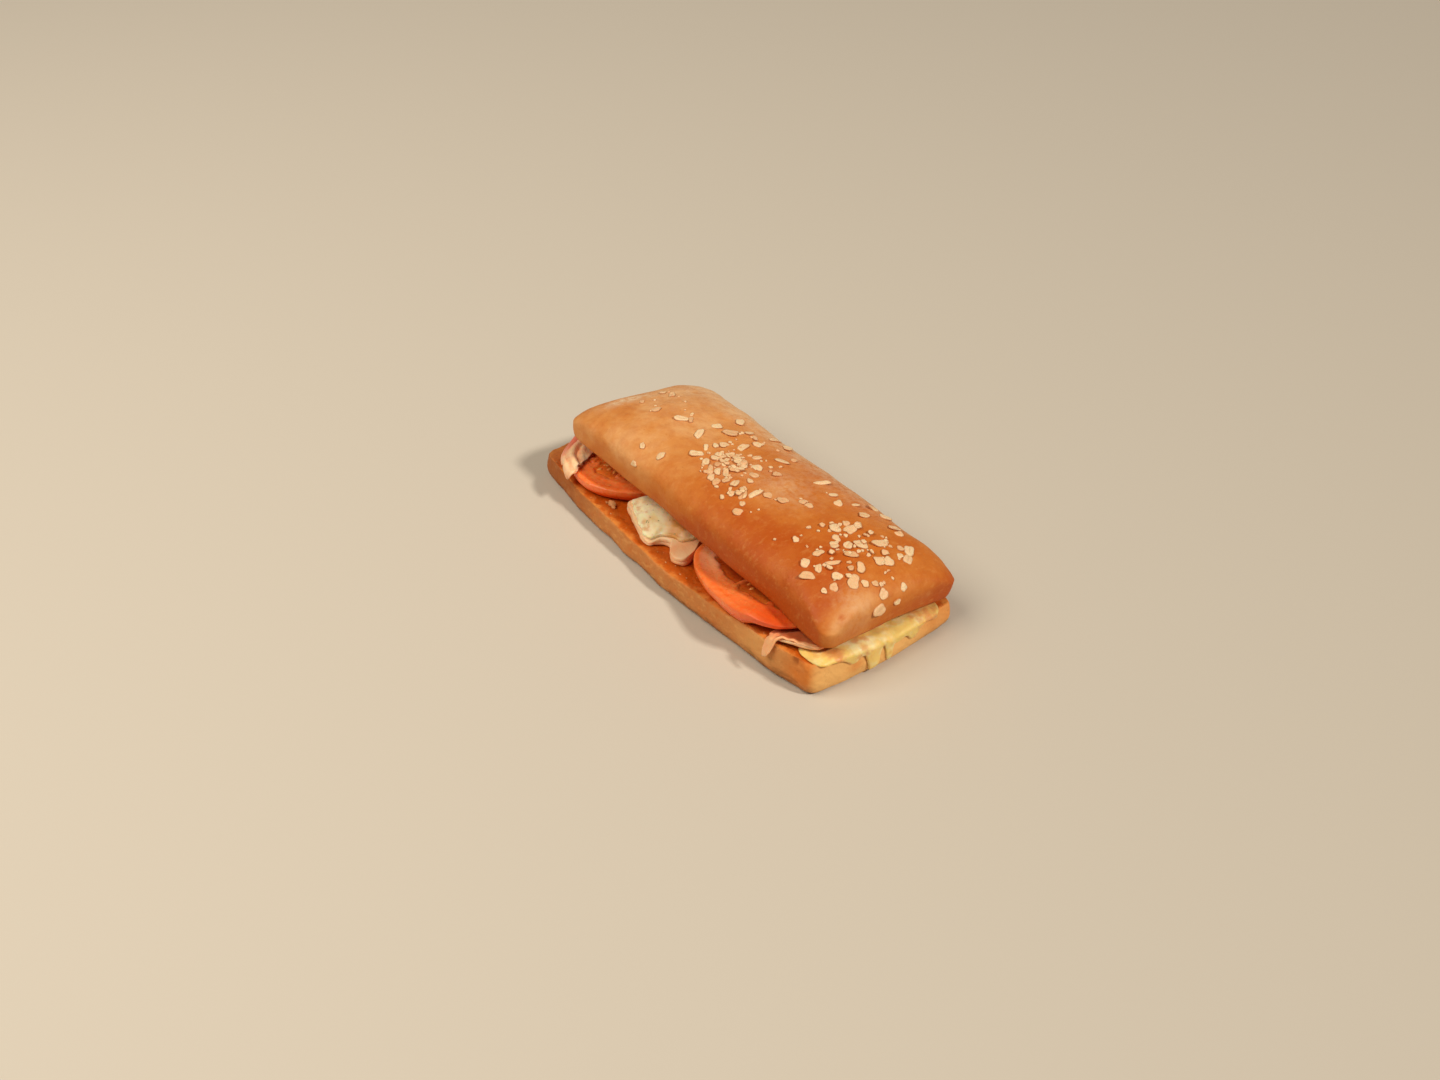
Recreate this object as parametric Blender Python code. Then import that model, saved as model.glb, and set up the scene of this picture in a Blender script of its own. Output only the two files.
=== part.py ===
"""Toasted turkey, cheese and tomato sandwich in a long soft roll.

The roll is cut level and lies along X.  Its open side faces -Y, where the filling props the
top half up.  At +Y the two halves almost meet.  From the bottom upwards the pieces are the
bottom half, a melted cheese slice at the +X end, a thin turkey slice, a thick folded turkey
slice with soft cheese on it in the middle, two tomato slices, a ruffled turkey slice over
the -X one, and the top half.

Sizes are in millimetres and become metres where a mesh is made.  The finished sandwich
stands on Z = 0 with its bounding box centred on the Z axis.
"""

import math

import bpy
from mathutils import Vector

MM = 0.001
GAP = 0.35  # air left between two pieces that touch

# Bottom half of the roll: a slab with a convex outline and upright crust.
BOTTOM_SHIFT = -1.0  # along X
BOTTOM_HALF_LENGTH = 97.5
BOTTOM_HALF_WIDTH = 39.0
BOTTOM_CORNER = 5.0  # corner radius seen from above
BOTTOM_FRONT_BELLY = 7.0  # how far the long sides and the ends bow outwards
BOTTOM_BACK_BELLY = 2.5
BOTTOM_END_BELLY = 3.0
CUT_HEIGHT = 11.5  # height of the cut face at the -X end
CUT_NEAR_RISE = 5.0  # how much thicker the bread is at the front +X corner
CUT_DENT = 1.8  # the crumb pressed down under the filling
CUT_RIPPLE = 0.25  # unevenness of the cut crumb
BOTTOM_WAVES = ((0.5, 11.0, 1.0), (0.35, 5.3, 0.0))  # waves along the sides, see waves()
BOTTOM_CRUST = (  # (inset, share of the height) up the side
    (3.2, 0.0),
    (1.4, 0.05),
    (0.4, 0.18),
    (0.0, 0.38),
    (0.3, 0.65),
    (0.8, 0.9),
    (1.3, 1.0),
)
BOTTOM_CUT_INSETS = (4.5, 11.0, 20.0, 30.0)  # rings across the cut face
RIDGE_INSET = 1.5  # how narrow the innermost ring is

# Top half of the roll: a pillow with steep sides and a soft crown.
TOP_CENTRE = (5.6, 3.0, 20.3)
TOP_TILT = math.radians(8.0)  # the front edge stands higher than the back edge
TOP_PITCH = math.radians(0.8)  # and the -X end a little higher than the +X end
TOP_HALF_LENGTH = 91.9
TOP_HALF_WIDTH = 36.5
TOP_RIM_CORNER = 6.0  # the rim has tight corners
TOP_CROWN_CORNER = 30.0  # which soften towards the crown
TOP_WIDEST = 8.0  # height of the widest line above the cut face
TOP_CROWN = 22.0  # height of the crown above the cut face
TOP_SIDE_POWER = 2.35
TOP_TURN_IN = 2.0  # how far the crust turns in below the widest line
TOP_RECESS = 1.6  # the crumb pressed up over the filling
TOP_DROOP = 3.2  # how far the front +X corner sags
TOP_END_DROPS = (3.6, 1.0)  # how much lower the crown is near the -X and the +X end
TOP_WAVES = ((0.5, 14.0, 0.0), (0.3, 6.1, 2.0))
CROWN_WAVES = ((0.5, 17.0, 0.0),)
TOP_CUT_INSETS = (26.0, 15.0, 7.0)
TOP_UNDERCUT = ((1.0, 1.2), (0.2, 4.5))  # (inset, height) of the crust below the widest line

# Fillings.
TOMATO_THICKNESS = 6.2
TOMATO_LEFT = {"centre": (-64.0, -11.0), "radii": (28.0, 30.0)}
TOMATO_RIGHT = {"centre": (45.0, -8.0), "radii": (38.5, 36.5)}
TURKEY_FOLD = 5.4
TURKEY_THIN = 1.6
TURKEY_RUFFLE = 1.7
CHEESE_THICKNESS = 2.0
TOMATO_POINTS = 40
TOMATO_LOBES = 0.012  # how lobed a tomato slice's outline is

# The melted slice at the +X end, which bends over the end and hangs down it.
CHEESE_END_START = 82.0  # X where it begins
CHEESE_END_SPAN = (-33.0, 32.0)  # and its reach along Y
CHEESE_END_ROWS = 31
CHEESE_BEND = 2.0  # how far before the bread's edge the bend begins
CHEESE_SAG = 1.2  # how far the bend sinks
CHEESE_LIP = 2.6  # how far it hangs down everywhere
CHEESE_LIP_WAVES = ((0.9, 4.3, 0.0), (0.5, 2.1, 1.0))
CHEESE_DRIPS = ((-8.0, 3.2, 10.0), (0.5, 1.7, 7.0))  # (Y, half width, length)
CHEESE_CLEARANCE = 3.5  # the lowest a drip reaches

# Plain finishes: (colour, roughness).
CRUST = ((0.62, 0.29, 0.10), 0.5)
BREAD = ((0.72, 0.42, 0.18), 0.8)
TURKEY = ((0.86, 0.55, 0.40), 0.5)
CHEESE = ((0.90, 0.70, 0.32), 0.4)
TOMATO = ((0.80, 0.17, 0.05), 0.35)

END_STEPS = 5  # points along half an end, a corner and half a side of the outlines
ARC_STEPS = 4
SIDE_STEPS = 10
CROWN_RINGS = 9


# ---------------------------------------------------------------------------- small helpers


def smoothstep(low, high, value):
    """Rise from 0 to 1 between low and high."""
    share = min(1.0, max(0.0, (value - low) / (high - low)))
    return share * share * (3.0 - 2.0 * share)


def mix(first, second, share):
    """Blend two numbers."""
    return first + (second - first) * share


def waves(x, terms):
    """A sum of sine waves along a line, each from its height, its length / 2 pi and its phase."""
    return sum(height * math.sin(x / length + phase) for height, length, phase in terms)


def hump(x, y, centre, radii):
    """A smooth hill of height 1 over an ellipse."""
    along = (x - centre[0]) / radii[0]
    across = (y - centre[1]) / radii[1]
    return math.exp(-(along * along + across * across))


def evenly(points, count):
    """Resample a closed line of (x, y) points at equal steps."""
    closed = points + points[:1]
    reach = [0.0]
    for first, second in zip(closed, closed[1:]):
        reach.append(reach[-1] + math.dist(first, second))
    result = []
    index = 0
    for step in range(count):
        target = reach[-1] * step / count
        while reach[index + 1] < target:
            index += 1
        share = (target - reach[index]) / (reach[index + 1] - reach[index])
        start, end = closed[index], closed[index + 1]
        result.append((mix(start[0], end[0], share), mix(start[1], end[1], share)))
    return result


def rounded_rectangle(half_x, half_y, radius):
    """A rectangle with round corners that starts at +X and runs anticlockwise."""
    radius = min(radius, 0.95 * half_y)
    quarter = [(half_x, (half_y - radius) * step / END_STEPS) for step in range(END_STEPS)]
    for step in range(ARC_STEPS):
        angle = 0.5 * math.pi * step / ARC_STEPS
        x = half_x - radius * (1.0 - math.cos(angle))
        quarter.append((x, half_y - radius * (1.0 - math.sin(angle))))
    for step in range(SIDE_STEPS):
        quarter.append(((half_x - radius) * (1.0 - step / SIDE_STEPS), half_y))
    half = quarter + [(0.0, half_y)] + [(-x, y) for x, y in reversed(quarter)]
    return half + [(x, -y) for x, y in half[-2:0:-1]]


def smooth_outline(corners, count):
    """A closed Catmull-Rom curve through hand-set corners, resampled evenly."""
    dense = []
    total = len(corners)
    for index in range(total):
        before, start = corners[index - 1], corners[index]
        end, after = corners[(index + 1) % total], corners[(index + 2) % total]
        for step in range(12):
            t = step / 12.0
            dense.append(
                tuple(
                    0.5
                    * (
                        2.0 * b
                        + (c - a) * t
                        + (2.0 * a - 5.0 * b + 4.0 * c - d) * t * t
                        + (3.0 * b - a - 3.0 * c + d) * t * t * t
                    )
                    for a, b, c, d in zip(before, start, end, after)
                )
            )
    return evenly(dense, count)


# ---------------------------------------------------------------------------- mesh builders


def make_material(name, colour, roughness):
    """A plain Principled material."""
    material = bpy.data.materials.new(name)
    material.use_nodes = True
    shader = material.node_tree.nodes["Principled BSDF"]
    shader.inputs["Base Color"].default_value = (*colour, 1.0)
    shader.inputs["Roughness"].default_value = roughness
    material.diffuse_color = (*colour, 1.0)
    return material


def make_object(name, points, faces, finish):
    """Turn points in millimetres into a smooth-shaded object in metres, of its own material."""
    mesh = bpy.data.meshes.new(name)
    mesh.from_pydata([Vector(point) * MM for point in points], [], faces)
    mesh.shade_smooth()
    mesh.materials.append(make_material(name, *finish))
    made = bpy.data.objects.new(name, mesh)
    bpy.context.scene.collection.objects.link(made)
    return made


def ring_faces(ring_count, size):
    """Quads between neighbouring rings, facing out for rings that run up the outside."""
    faces = []
    for ring in range(ring_count - 1):
        for index in range(size):
            after = (index + 1) % size
            low, high = ring * size, (ring + 1) * size
            faces.append((low + index, low + after, high + after, high + index))
    return faces


def ridge_faces(start, size, upwards):
    """Close a ring that has shrunk to a ridge along X, from its +Y half to its -Y half."""
    faces = []
    for index in range(size // 2):
        loop = [start + index, start + index + 1]
        loop += [start + (size - index - 1) % size, start + (size - index) % size]
        loop = list(dict.fromkeys(loop))
        faces.append(tuple(loop if upwards else reversed(loop)))
    return faces


def ridge_body(name, rings, finish):
    """A closed body from rings that begin and end as ridges along X."""
    size = len(rings[0])
    points = [point for ring in rings for point in ring]
    faces = ring_faces(len(rings), size)
    faces += ridge_faces(0, size, upwards=False)
    faces += ridge_faces((len(rings) - 1) * size, size, upwards=True)
    return make_object(name, points, faces, finish)


def centred_body(name, rings, bottom, top, finish):
    """A closed body from rings, shut by fans round a bottom and a top point."""
    size = len(rings[0])
    points = [point for ring in rings for point in ring] + [bottom, top]
    faces = ring_faces(len(rings), size)
    low, high = len(points) - 2, len(points) - 1
    last = (len(rings) - 1) * size
    for index in range(size):
        after = (index + 1) % size
        faces.append((after, index, low))
        faces.append((last + index, last + after, high))
    return make_object(name, points, faces, finish)


def slab(name, outline, centre, floor, ceiling, finish, shares=(0.45, 0.8)):
    """A layer between two height functions, with a rounded edge along its outline."""

    def ring(share, height):
        scaled = [(mix(centre[0], x, share), mix(centre[1], y, share)) for x, y in outline]
        return [(x, y, mix(floor(x, y), ceiling(x, y), height)) for x, y in scaled]

    rings = [ring(share, 0.0) for share in shares]
    rings += [ring(0.97, 0.0), ring(1.0, 0.3), ring(1.0, 0.7)]
    rings += [ring(0.97, 1.0)] + [ring(share, 1.0) for share in reversed(shares)]
    bottom = (*centre, floor(*centre))
    top = (*centre, ceiling(*centre))
    return centred_body(name, rings, bottom, top, finish)


# ---------------------------------------------------------------------------- the two halves


def cut_height(x, y):
    """Height of the bottom half's cut face."""
    across = y / BOTTOM_HALF_WIDTH
    rise = CUT_NEAR_RISE * smoothstep(10.0, 96.0, x) * max(0.0, 0.5 - 0.5 * across)
    along_share = max(0.0, 1.0 - abs((x - BOTTOM_SHIFT) / BOTTOM_HALF_LENGTH) ** 8)
    across_share = max(0.0, 1.0 - abs(across) ** 4)
    ripple = CUT_RIPPLE * math.sin(x / 9.0) * math.cos(y / 7.0)
    return CUT_HEIGHT + rise - CUT_DENT * along_share * across_share + ripple


def bowed(x, y):
    """Bow the sides and ends of the bottom half's outline outwards."""
    belly = BOTTOM_FRONT_BELLY if y < 0.0 else BOTTOM_BACK_BELLY
    along, across = x / BOTTOM_HALF_LENGTH, y / BOTTOM_HALF_WIDTH
    bowed_x = x * (1.0 + BOTTOM_END_BELLY / BOTTOM_HALF_LENGTH * (1.0 - across * across))
    bowed_x += BOTTOM_SHIFT
    bowed_y = y * (1.0 + belly / BOTTOM_HALF_WIDTH * (1.0 - along * along))
    return bowed_x, bowed_y + waves(bowed_x, BOTTOM_WAVES) * across


def make_bottom(finish):
    """The bottom half: flat base, upright crust and dented cut face."""
    profile = [(BOTTOM_HALF_WIDTH - RIDGE_INSET, 0.0)]
    profile += list(BOTTOM_CRUST)
    profile += [(inset, 1.0) for inset in BOTTOM_CUT_INSETS]
    profile += [(BOTTOM_HALF_WIDTH - RIDGE_INSET, 1.0)]
    rings = []
    for inset, share in profile:
        half_x, half_y = BOTTOM_HALF_LENGTH - inset, BOTTOM_HALF_WIDTH - inset
        flat = [bowed(x, y) for x, y in rounded_rectangle(half_x, half_y, BOTTOM_CORNER)]
        rings.append([(x, y, share * cut_height(x, y)) for x, y in flat])
    return ridge_body("bottom_roll", rings, finish)


def roof_height(x, y):
    """Height of the top half's cut face above the ground, over the filling."""
    along = (x - TOP_CENTRE[0]) / TOP_HALF_LENGTH
    across = (y - TOP_CENTRE[1]) / TOP_HALF_WIDTH
    plane = TOP_CENTRE[2] - (y - TOP_CENTRE[1]) * math.tan(TOP_TILT)
    plane -= (x - TOP_CENTRE[0]) * math.tan(TOP_PITCH)
    return plane + recess(along, across) - droop(x - TOP_CENTRE[0], y - TOP_CENTRE[1])


def recess(along, across):
    """How far the top half's crumb is pressed up, from shares of its half sizes."""
    share = max(0.0, 1.0 - abs(along) ** 8) * max(0.0, 1.0 - abs(across) ** 4)
    return TOP_RECESS * share


def droop(x, y):
    """How far the top half's front +X corner sags, from its own x and y."""
    return TOP_DROOP * smoothstep(35.0, 92.0, x) * smoothstep(5.0, -36.0, y)


def crown_height(x):
    """Height of the crown above the cut face, a little uneven along the roll."""
    far_drop = TOP_END_DROPS[0] * smoothstep(45.0, 92.0, -x)
    near_drop = TOP_END_DROPS[1] * smoothstep(60.0, 92.0, x)
    return TOP_CROWN - far_drop - near_drop + waves(x, CROWN_WAVES)


def top_profile():
    """(inset, share of the way from the widest line to the crown) from side to ridge."""
    steps = []
    exponent = 2.0 / TOP_SIDE_POWER
    for step in range(1, CROWN_RINGS + 1):
        angle = 0.49 * math.pi * step / CROWN_RINGS
        inset = TOP_HALF_WIDTH * (1.0 - math.cos(angle) ** exponent)
        steps.append((inset, math.sin(angle) ** exponent))
    return steps


def top_ring(inset, corner, height):
    """One ring of the top half at an inset, with its height given by a function of x and y."""
    points = []
    for x, y in rounded_rectangle(TOP_HALF_LENGTH - inset, TOP_HALF_WIDTH - inset, corner):
        points.append((x, y * (1.0 + waves(x, TOP_WAVES) / TOP_HALF_WIDTH), height(x, y)))
    return points


def make_top(finish):
    """The top half: pressed cut face, steep sides and a soft crown, set down tilted."""

    def under(x, y):
        return recess(x / TOP_HALF_LENGTH, y / TOP_HALF_WIDTH) - droop(x, y)

    rings = [
        top_ring(inset, TOP_RIM_CORNER, under)
        for inset in (TOP_HALF_WIDTH - RIDGE_INSET, *TOP_CUT_INSETS)
    ]
    for inset, level in ((TOP_TURN_IN, 0.0), *TOP_UNDERCUT):
        rings.append(
            top_ring(inset, TOP_RIM_CORNER, lambda x, y, level=level: level - droop(x, y))
        )
    for inset, share in [(0.0, 0.0)] + top_profile():

        def over(x, y, share=share):
            return mix(TOP_WIDEST - droop(x, y), crown_height(x), share)

        corner = mix(TOP_RIM_CORNER, TOP_CROWN_CORNER, share)
        rings.append(top_ring(inset, corner, over))
    made = ridge_body("top_roll", rings, finish)
    made.location = Vector(TOP_CENTRE) * MM
    made.rotation_euler = (-TOP_TILT, TOP_PITCH, 0.0)
    return made


# ---------------------------------------------------------------------------- fillings


def inside_share(x, y, tomato):
    """0 at a tomato slice's centre and 1 at its skin."""
    along = (x - tomato["centre"][0]) / tomato["radii"][0]
    across = (y - tomato["centre"][1]) / tomato["radii"][1]
    return math.hypot(along, across)


def thin_turkey_floor(x, y):
    """Underside of the thin turkey slice, which climbs onto the end slice of cheese."""
    climb = (CHEESE_THICKNESS + 2.0 * GAP) * smoothstep(72.0, 80.0, x)
    return cut_height(x, y) + GAP + climb


def thin_turkey_top(x, y):
    """Upper side of the thin turkey slice, gently wavy."""
    wave = 0.35 * math.sin(x / 3.1) * smoothstep(-20.0, -36.0, y)
    room = roof_height(x, y) - 2.0 * GAP
    return min(thin_turkey_floor(x, y) + TURKEY_THIN + wave, room)


def left_tomato_floor(x, y):
    """Underside of the -X tomato slice, on the bread."""
    return cut_height(x, y) + GAP


def left_tomato_top(x, y):
    """Upper side of the -X tomato slice, which leaves room for the ruffled turkey."""
    room = roof_height(x, y) - TURKEY_RUFFLE - 3.0 * GAP
    return min(left_tomato_floor(x, y) + TOMATO_THICKNESS, room)


def right_tomato_floor(x, y):
    """Underside of the +X tomato slice, which lies on the thin turkey at its +X side."""
    lift = (TURKEY_THIN + 2.0 * GAP + 0.35) * smoothstep(57.0, 65.5, x)
    climb = (CHEESE_THICKNESS + 2.0 * GAP) * smoothstep(72.0, 80.0, x)
    return cut_height(x, y) + GAP + lift + climb


def right_tomato_top(x, y):
    """Upper side of the +X tomato slice."""
    room = roof_height(x, y) - 2.0 * GAP
    return min(right_tomato_floor(x, y) + TOMATO_THICKNESS, room)


def make_tomato(name, tomato, floor, ceiling, finish):
    """A thick slice with a slightly lobed outline."""
    centre, radii = tomato["centre"], tomato["radii"]
    outline = []
    for step in range(TOMATO_POINTS):
        angle = 2.0 * math.pi * step / TOMATO_POINTS
        lobed = 1.0 + TOMATO_LOBES * math.cos(5.0 * angle)
        outline.append(
            (
                centre[0] + radii[0] * lobed * math.cos(angle),
                centre[1] + radii[1] * lobed * math.sin(angle),
            )
        )
    return slab(name, outline, centre, floor, ceiling, finish)


FOLD_OUTLINE = (  # the folded turkey slice: two lobes at the open side
    (-38.5, -32.5),
    (-31.0, -36.5),
    (-21.0, -39.5),
    (-11.0, -41.5),
    (-5.5, -41.0),
    (-3.0, -35.5),
    (0.5, -37.5),
    (6.0, -39.5),
    (11.0, -36.5),
    (10.5, -30.0),
    (4.5, -22.0),
    (3.5, -6.0),
    (4.0, 12.0),
    (7.0, 24.0),
    (-14.0, 28.0),
    (-34.0, 24.0),
    (-33.5, 8.0),
    (-33.0, -12.0),
    (-35.5, -25.0),
)
FOLD_CENTRE = (-14.0, -5.0)


def fold_floor(x, y):
    """Underside of the folded turkey slice."""
    return cut_height(x, y) + GAP


def fold_top(x, y):
    """Upper side of the folded turkey slice, lower towards its -X lobe's tip."""
    tip = 1.4 * hump(x, y, (-8.0, -41.0), (9.0, 7.0))
    room = roof_height(x, y) - CHEESE_THICKNESS - 4.0 * GAP
    return min(fold_floor(x, y) + TURKEY_FOLD - tip, room)


CREAM_OUTLINE = (  # the soft cheese on the folded slice
    (-34.0, -28.5),
    (-28.0, -33.0),
    (-19.0, -36.5),
    (-11.5, -38.0),
    (-8.0, -34.0),
    (-1.0, -31.0),
    (5.0, -34.5),
    (8.0, -30.5),
    (3.0, -20.0),
    (1.5, -4.0),
    (2.0, 12.0),
    (2.5, 22.0),
    (-14.0, 25.0),
    (-30.5, 22.0),
    (-31.0, 6.0),
    (-30.5, -10.0),
    (-32.5, -22.0),
)
CREAM_CENTRE = (-14.0, -5.0)


def cream_floor(x, y):
    """Underside of the soft cheese."""
    return fold_top(x, y) + GAP


def cream_top(x, y):
    """Upper side of the soft cheese, uneven as it melted."""
    lump = 0.7 * hump(x, y, (-22.0, -30.0), (7.0, 6.0)) + 0.5 * hump(x, y, (2.0, -31.0), (5.0, 4.0))
    return min(cream_floor(x, y) + CHEESE_THICKNESS + lump, roof_height(x, y) - 2.0 * GAP)


RUFFLE_OUTLINE = (  # the ruffled turkey slice over the -X tomato slice
    (-66.0, -40.5),
    (-68.5, -36.5),
    (-72.5, -31.0),
    (-76.0, -22.0),
    (-74.0, -8.0),
    (-72.0, 10.0),
    (-77.0, 21.0),
    (-87.0, 19.0),
    (-93.0, 8.0),
    (-95.0, -8.0),
    (-94.5, -21.0),
    (-92.0, -30.5),
    (-86.0, -37.0),
    (-78.0, -41.0),
    (-70.5, -43.0),
)
RUFFLE_CENTRE = (-84.0, -12.0)


def ruffle_floor(x, y):
    """Underside of the ruffled slice: over the tomato, then down to the bread outside it."""
    share = inside_share(x, y, TOMATO_LEFT)
    on_tomato = left_tomato_top(x, y) + GAP
    on_bread = cut_height(x, y) + GAP
    height = mix(on_tomato, on_bread, smoothstep(1.05, 1.17, share))
    front = smoothstep(-18.0, -30.0, y)
    wave = 0.5 - 0.5 * math.cos(2.0 * math.pi * (1.16 - share) / 0.15)
    room = roof_height(x, y) - TURKEY_RUFFLE - 2.0 * GAP
    ruffled = height + 2.3 * wave * front * smoothstep(0.70, 0.82, share)
    return min(ruffled, max(room, height)) if share < 1.0 else ruffled


def ruffle_top(x, y):
    """Upper side of the ruffled slice."""
    return ruffle_floor(x, y) + TURKEY_RUFFLE


THIN_OUTLINE = (  # the thin turkey slice at the +X end
    (67.5, -39.0),
    (71.5, -42.0),
    (79.0, -41.0),
    (86.0, -38.5),
    (91.5, -35.5),
    (94.0, -30.0),
    (94.0, -12.0),
    (93.5, 8.0),
    (93.0, 22.0),
    (87.0, 29.0),
    (75.0, 27.0),
    (69.5, 18.0),
    (68.5, 0.0),
    (67.5, -20.0),
)
THIN_CENTRE = (81.0, -5.0)


def end_edge(y, inset):
    """X of the bottom half's +X end at a given Y, away from its corners."""
    across = y / BOTTOM_HALF_WIDTH
    plain = BOTTOM_HALF_LENGTH - inset
    bow = BOTTOM_END_BELLY / BOTTOM_HALF_LENGTH * (1.0 - across * across)
    return BOTTOM_SHIFT + plain * (1.0 + bow)


def drip_depth(y):
    """How far the melted cheese hangs down the end, with one long and one short drip."""
    depth = CHEESE_LIP + waves(y, CHEESE_LIP_WAVES)
    for centre, half_width, length in CHEESE_DRIPS:
        depth += length * math.exp(-(((y - centre) / half_width) ** 4))
    return depth


def end_cheese_row(y):
    """The inner and outer paths of the melted slice along X at one Y."""
    edge = end_edge(y, BOTTOM_CRUST[-1][0])
    bend = edge - CHEESE_BEND
    top = cut_height(edge, y) + GAP
    wall = end_edge(y, 0.0) + GAP
    inner, outer = [], []
    for share in (0.0, 0.53, 1.0):
        x = mix(CHEESE_END_START, bend, share)
        low = cut_height(x, y) + GAP
        inner.append((x, y, low))
        outer.append((x, y, low + CHEESE_THICKNESS))
    for angle in (30.0, 60.0, 90.0):
        turn = math.radians(angle)
        x = bend + (wall - bend) * math.sin(turn)
        z = top - CHEESE_SAG * (1.0 - math.cos(turn))
        bulge = 0.8 * CHEESE_THICKNESS
        inner.append((x, y, z))
        outer.append((x + bulge * math.sin(turn), y, z + bulge * math.cos(turn)))
    depth = min(drip_depth(y), top - CHEESE_CLEARANCE)
    for share in (0.5, 0.85, 1.0):
        z = top - CHEESE_SAG - depth * share
        swell = CHEESE_THICKNESS * mix(0.8, 0.45, share)
        inner.append((wall, y, z))
        outer.append((wall + swell, y, z + GAP * (1.0 - share)))
    return inner, outer


def make_end_cheese(finish):
    """The melted slice: level on the cut face, then bent over the end and down it."""
    inner, outer = [], []
    for row in range(CHEESE_END_ROWS):
        paths = end_cheese_row(mix(*CHEESE_END_SPAN, row / (CHEESE_END_ROWS - 1)))
        inner.append(paths[0])
        outer.append(paths[1])
    return sheet_body("cheese_end", inner, outer, finish)


def sheet_body(name, inner, outer, finish):
    """A closed sheet between two grids of points with the same rows and columns."""
    rows, columns = len(inner), len(inner[0])
    points = [point for row in inner for point in row]
    points += [point for row in outer for point in row]
    offset = rows * columns

    def at(row, column, side):
        return side * offset + row * columns + column

    faces = []
    for row in range(rows - 1):
        for column in range(columns - 1):
            faces.append(
                (
                    at(row, column, 1),
                    at(row, column + 1, 1),
                    at(row + 1, column + 1, 1),
                    at(row + 1, column, 1),
                )
            )
            faces.append(
                (
                    at(row, column, 0),
                    at(row + 1, column, 0),
                    at(row + 1, column + 1, 0),
                    at(row, column + 1, 0),
                )
            )
    for row in range(rows - 1):
        last = columns - 1
        faces.append((at(row, 0, 0), at(row, 0, 1), at(row + 1, 0, 1), at(row + 1, 0, 0)))
        faces.append(
            (at(row, last, 1), at(row, last, 0), at(row + 1, last, 0), at(row + 1, last, 1))
        )
    for column in range(columns - 1):
        last = rows - 1
        faces.append(
            (at(0, column, 0), at(0, column + 1, 0), at(0, column + 1, 1), at(0, column, 1))
        )
        faces.append(
            (
                at(last, column, 1),
                at(last, column + 1, 1),
                at(last, column + 1, 0),
                at(last, column, 0),
            )
        )
    return make_object(name, points, faces, finish)


def make_fillings(turkey, cheese, tomato):
    """All that lies between the two halves."""
    fold = smooth_outline(FOLD_OUTLINE, 48)
    cream = smooth_outline(CREAM_OUTLINE, 44)
    ruffle = smooth_outline(RUFFLE_OUTLINE, 44)
    thin = smooth_outline(THIN_OUTLINE, 40)
    fine = (0.4, 0.62, 0.74, 0.84, 0.91)
    return [
        make_end_cheese(cheese),
        slab("turkey_right", thin, THIN_CENTRE, thin_turkey_floor, thin_turkey_top, turkey),
        slab("turkey_middle", fold, FOLD_CENTRE, fold_floor, fold_top, turkey),
        slab("cheese_middle", cream, CREAM_CENTRE, cream_floor, cream_top, cheese),
        make_tomato("tomato_left", TOMATO_LEFT, left_tomato_floor, left_tomato_top, tomato),
        make_tomato("tomato_right", TOMATO_RIGHT, right_tomato_floor, right_tomato_top, tomato),
        slab("turkey_left", ruffle, RUFFLE_CENTRE, ruffle_floor, ruffle_top, turkey, fine),
    ]


# ---------------------------------------------------------------------------- assembly


def clear_scene():
    """Remove whatever the scene holds."""
    for item in list(bpy.data.objects):
        bpy.data.objects.remove(item)


def centre_on_base(objects):
    """Shift everything so that the bounding box is centred over the origin."""
    bpy.context.view_layer.update()
    corners = [item.matrix_world @ vertex.co for item in objects for vertex in item.data.vertices]
    shift = Vector((0.0, 0.0, 0.0))
    for axis in (0, 1):
        values = [corner[axis] for corner in corners]
        shift[axis] = -0.5 * (min(values) + max(values))
    for item in objects:
        item.location += shift


def main():
    """Build the sandwich."""
    clear_scene()
    pieces = [make_bottom(BREAD)]
    pieces += make_fillings(TURKEY, CHEESE, TOMATO)
    pieces.append(make_top(CRUST))
    centre_on_base(pieces)


main()
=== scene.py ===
"""Looks of a toasted turkey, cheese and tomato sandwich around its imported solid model.

Shapes are worked out in millimetres in the sandwich's own frame: X along the roll, the open
side towards -Y, Z up from the surface that it lies on.  Each piece is moved to the row frame,
in metres, when it is finished.
"""

from __future__ import annotations

import logging
import math
from dataclasses import dataclass
from enum import Enum
from functools import partial
from typing import Callable, Sequence, Union

import bpy
import numpy as np
from mathutils import Euler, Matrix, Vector
from mathutils.bvhtree import BVHTree

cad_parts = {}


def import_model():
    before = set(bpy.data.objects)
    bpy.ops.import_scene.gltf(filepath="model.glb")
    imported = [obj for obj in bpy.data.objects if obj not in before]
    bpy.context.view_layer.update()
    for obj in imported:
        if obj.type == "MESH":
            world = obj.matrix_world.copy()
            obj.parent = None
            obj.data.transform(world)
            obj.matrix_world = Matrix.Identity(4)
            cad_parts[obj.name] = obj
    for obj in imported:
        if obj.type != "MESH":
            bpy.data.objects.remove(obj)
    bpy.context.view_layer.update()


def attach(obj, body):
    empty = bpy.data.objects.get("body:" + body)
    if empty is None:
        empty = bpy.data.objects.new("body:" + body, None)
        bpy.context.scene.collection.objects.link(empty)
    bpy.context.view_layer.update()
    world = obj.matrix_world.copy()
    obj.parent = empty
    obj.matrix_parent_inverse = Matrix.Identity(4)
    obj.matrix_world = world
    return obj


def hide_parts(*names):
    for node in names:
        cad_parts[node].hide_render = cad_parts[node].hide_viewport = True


log = logging.getLogger("sandwich")

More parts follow.
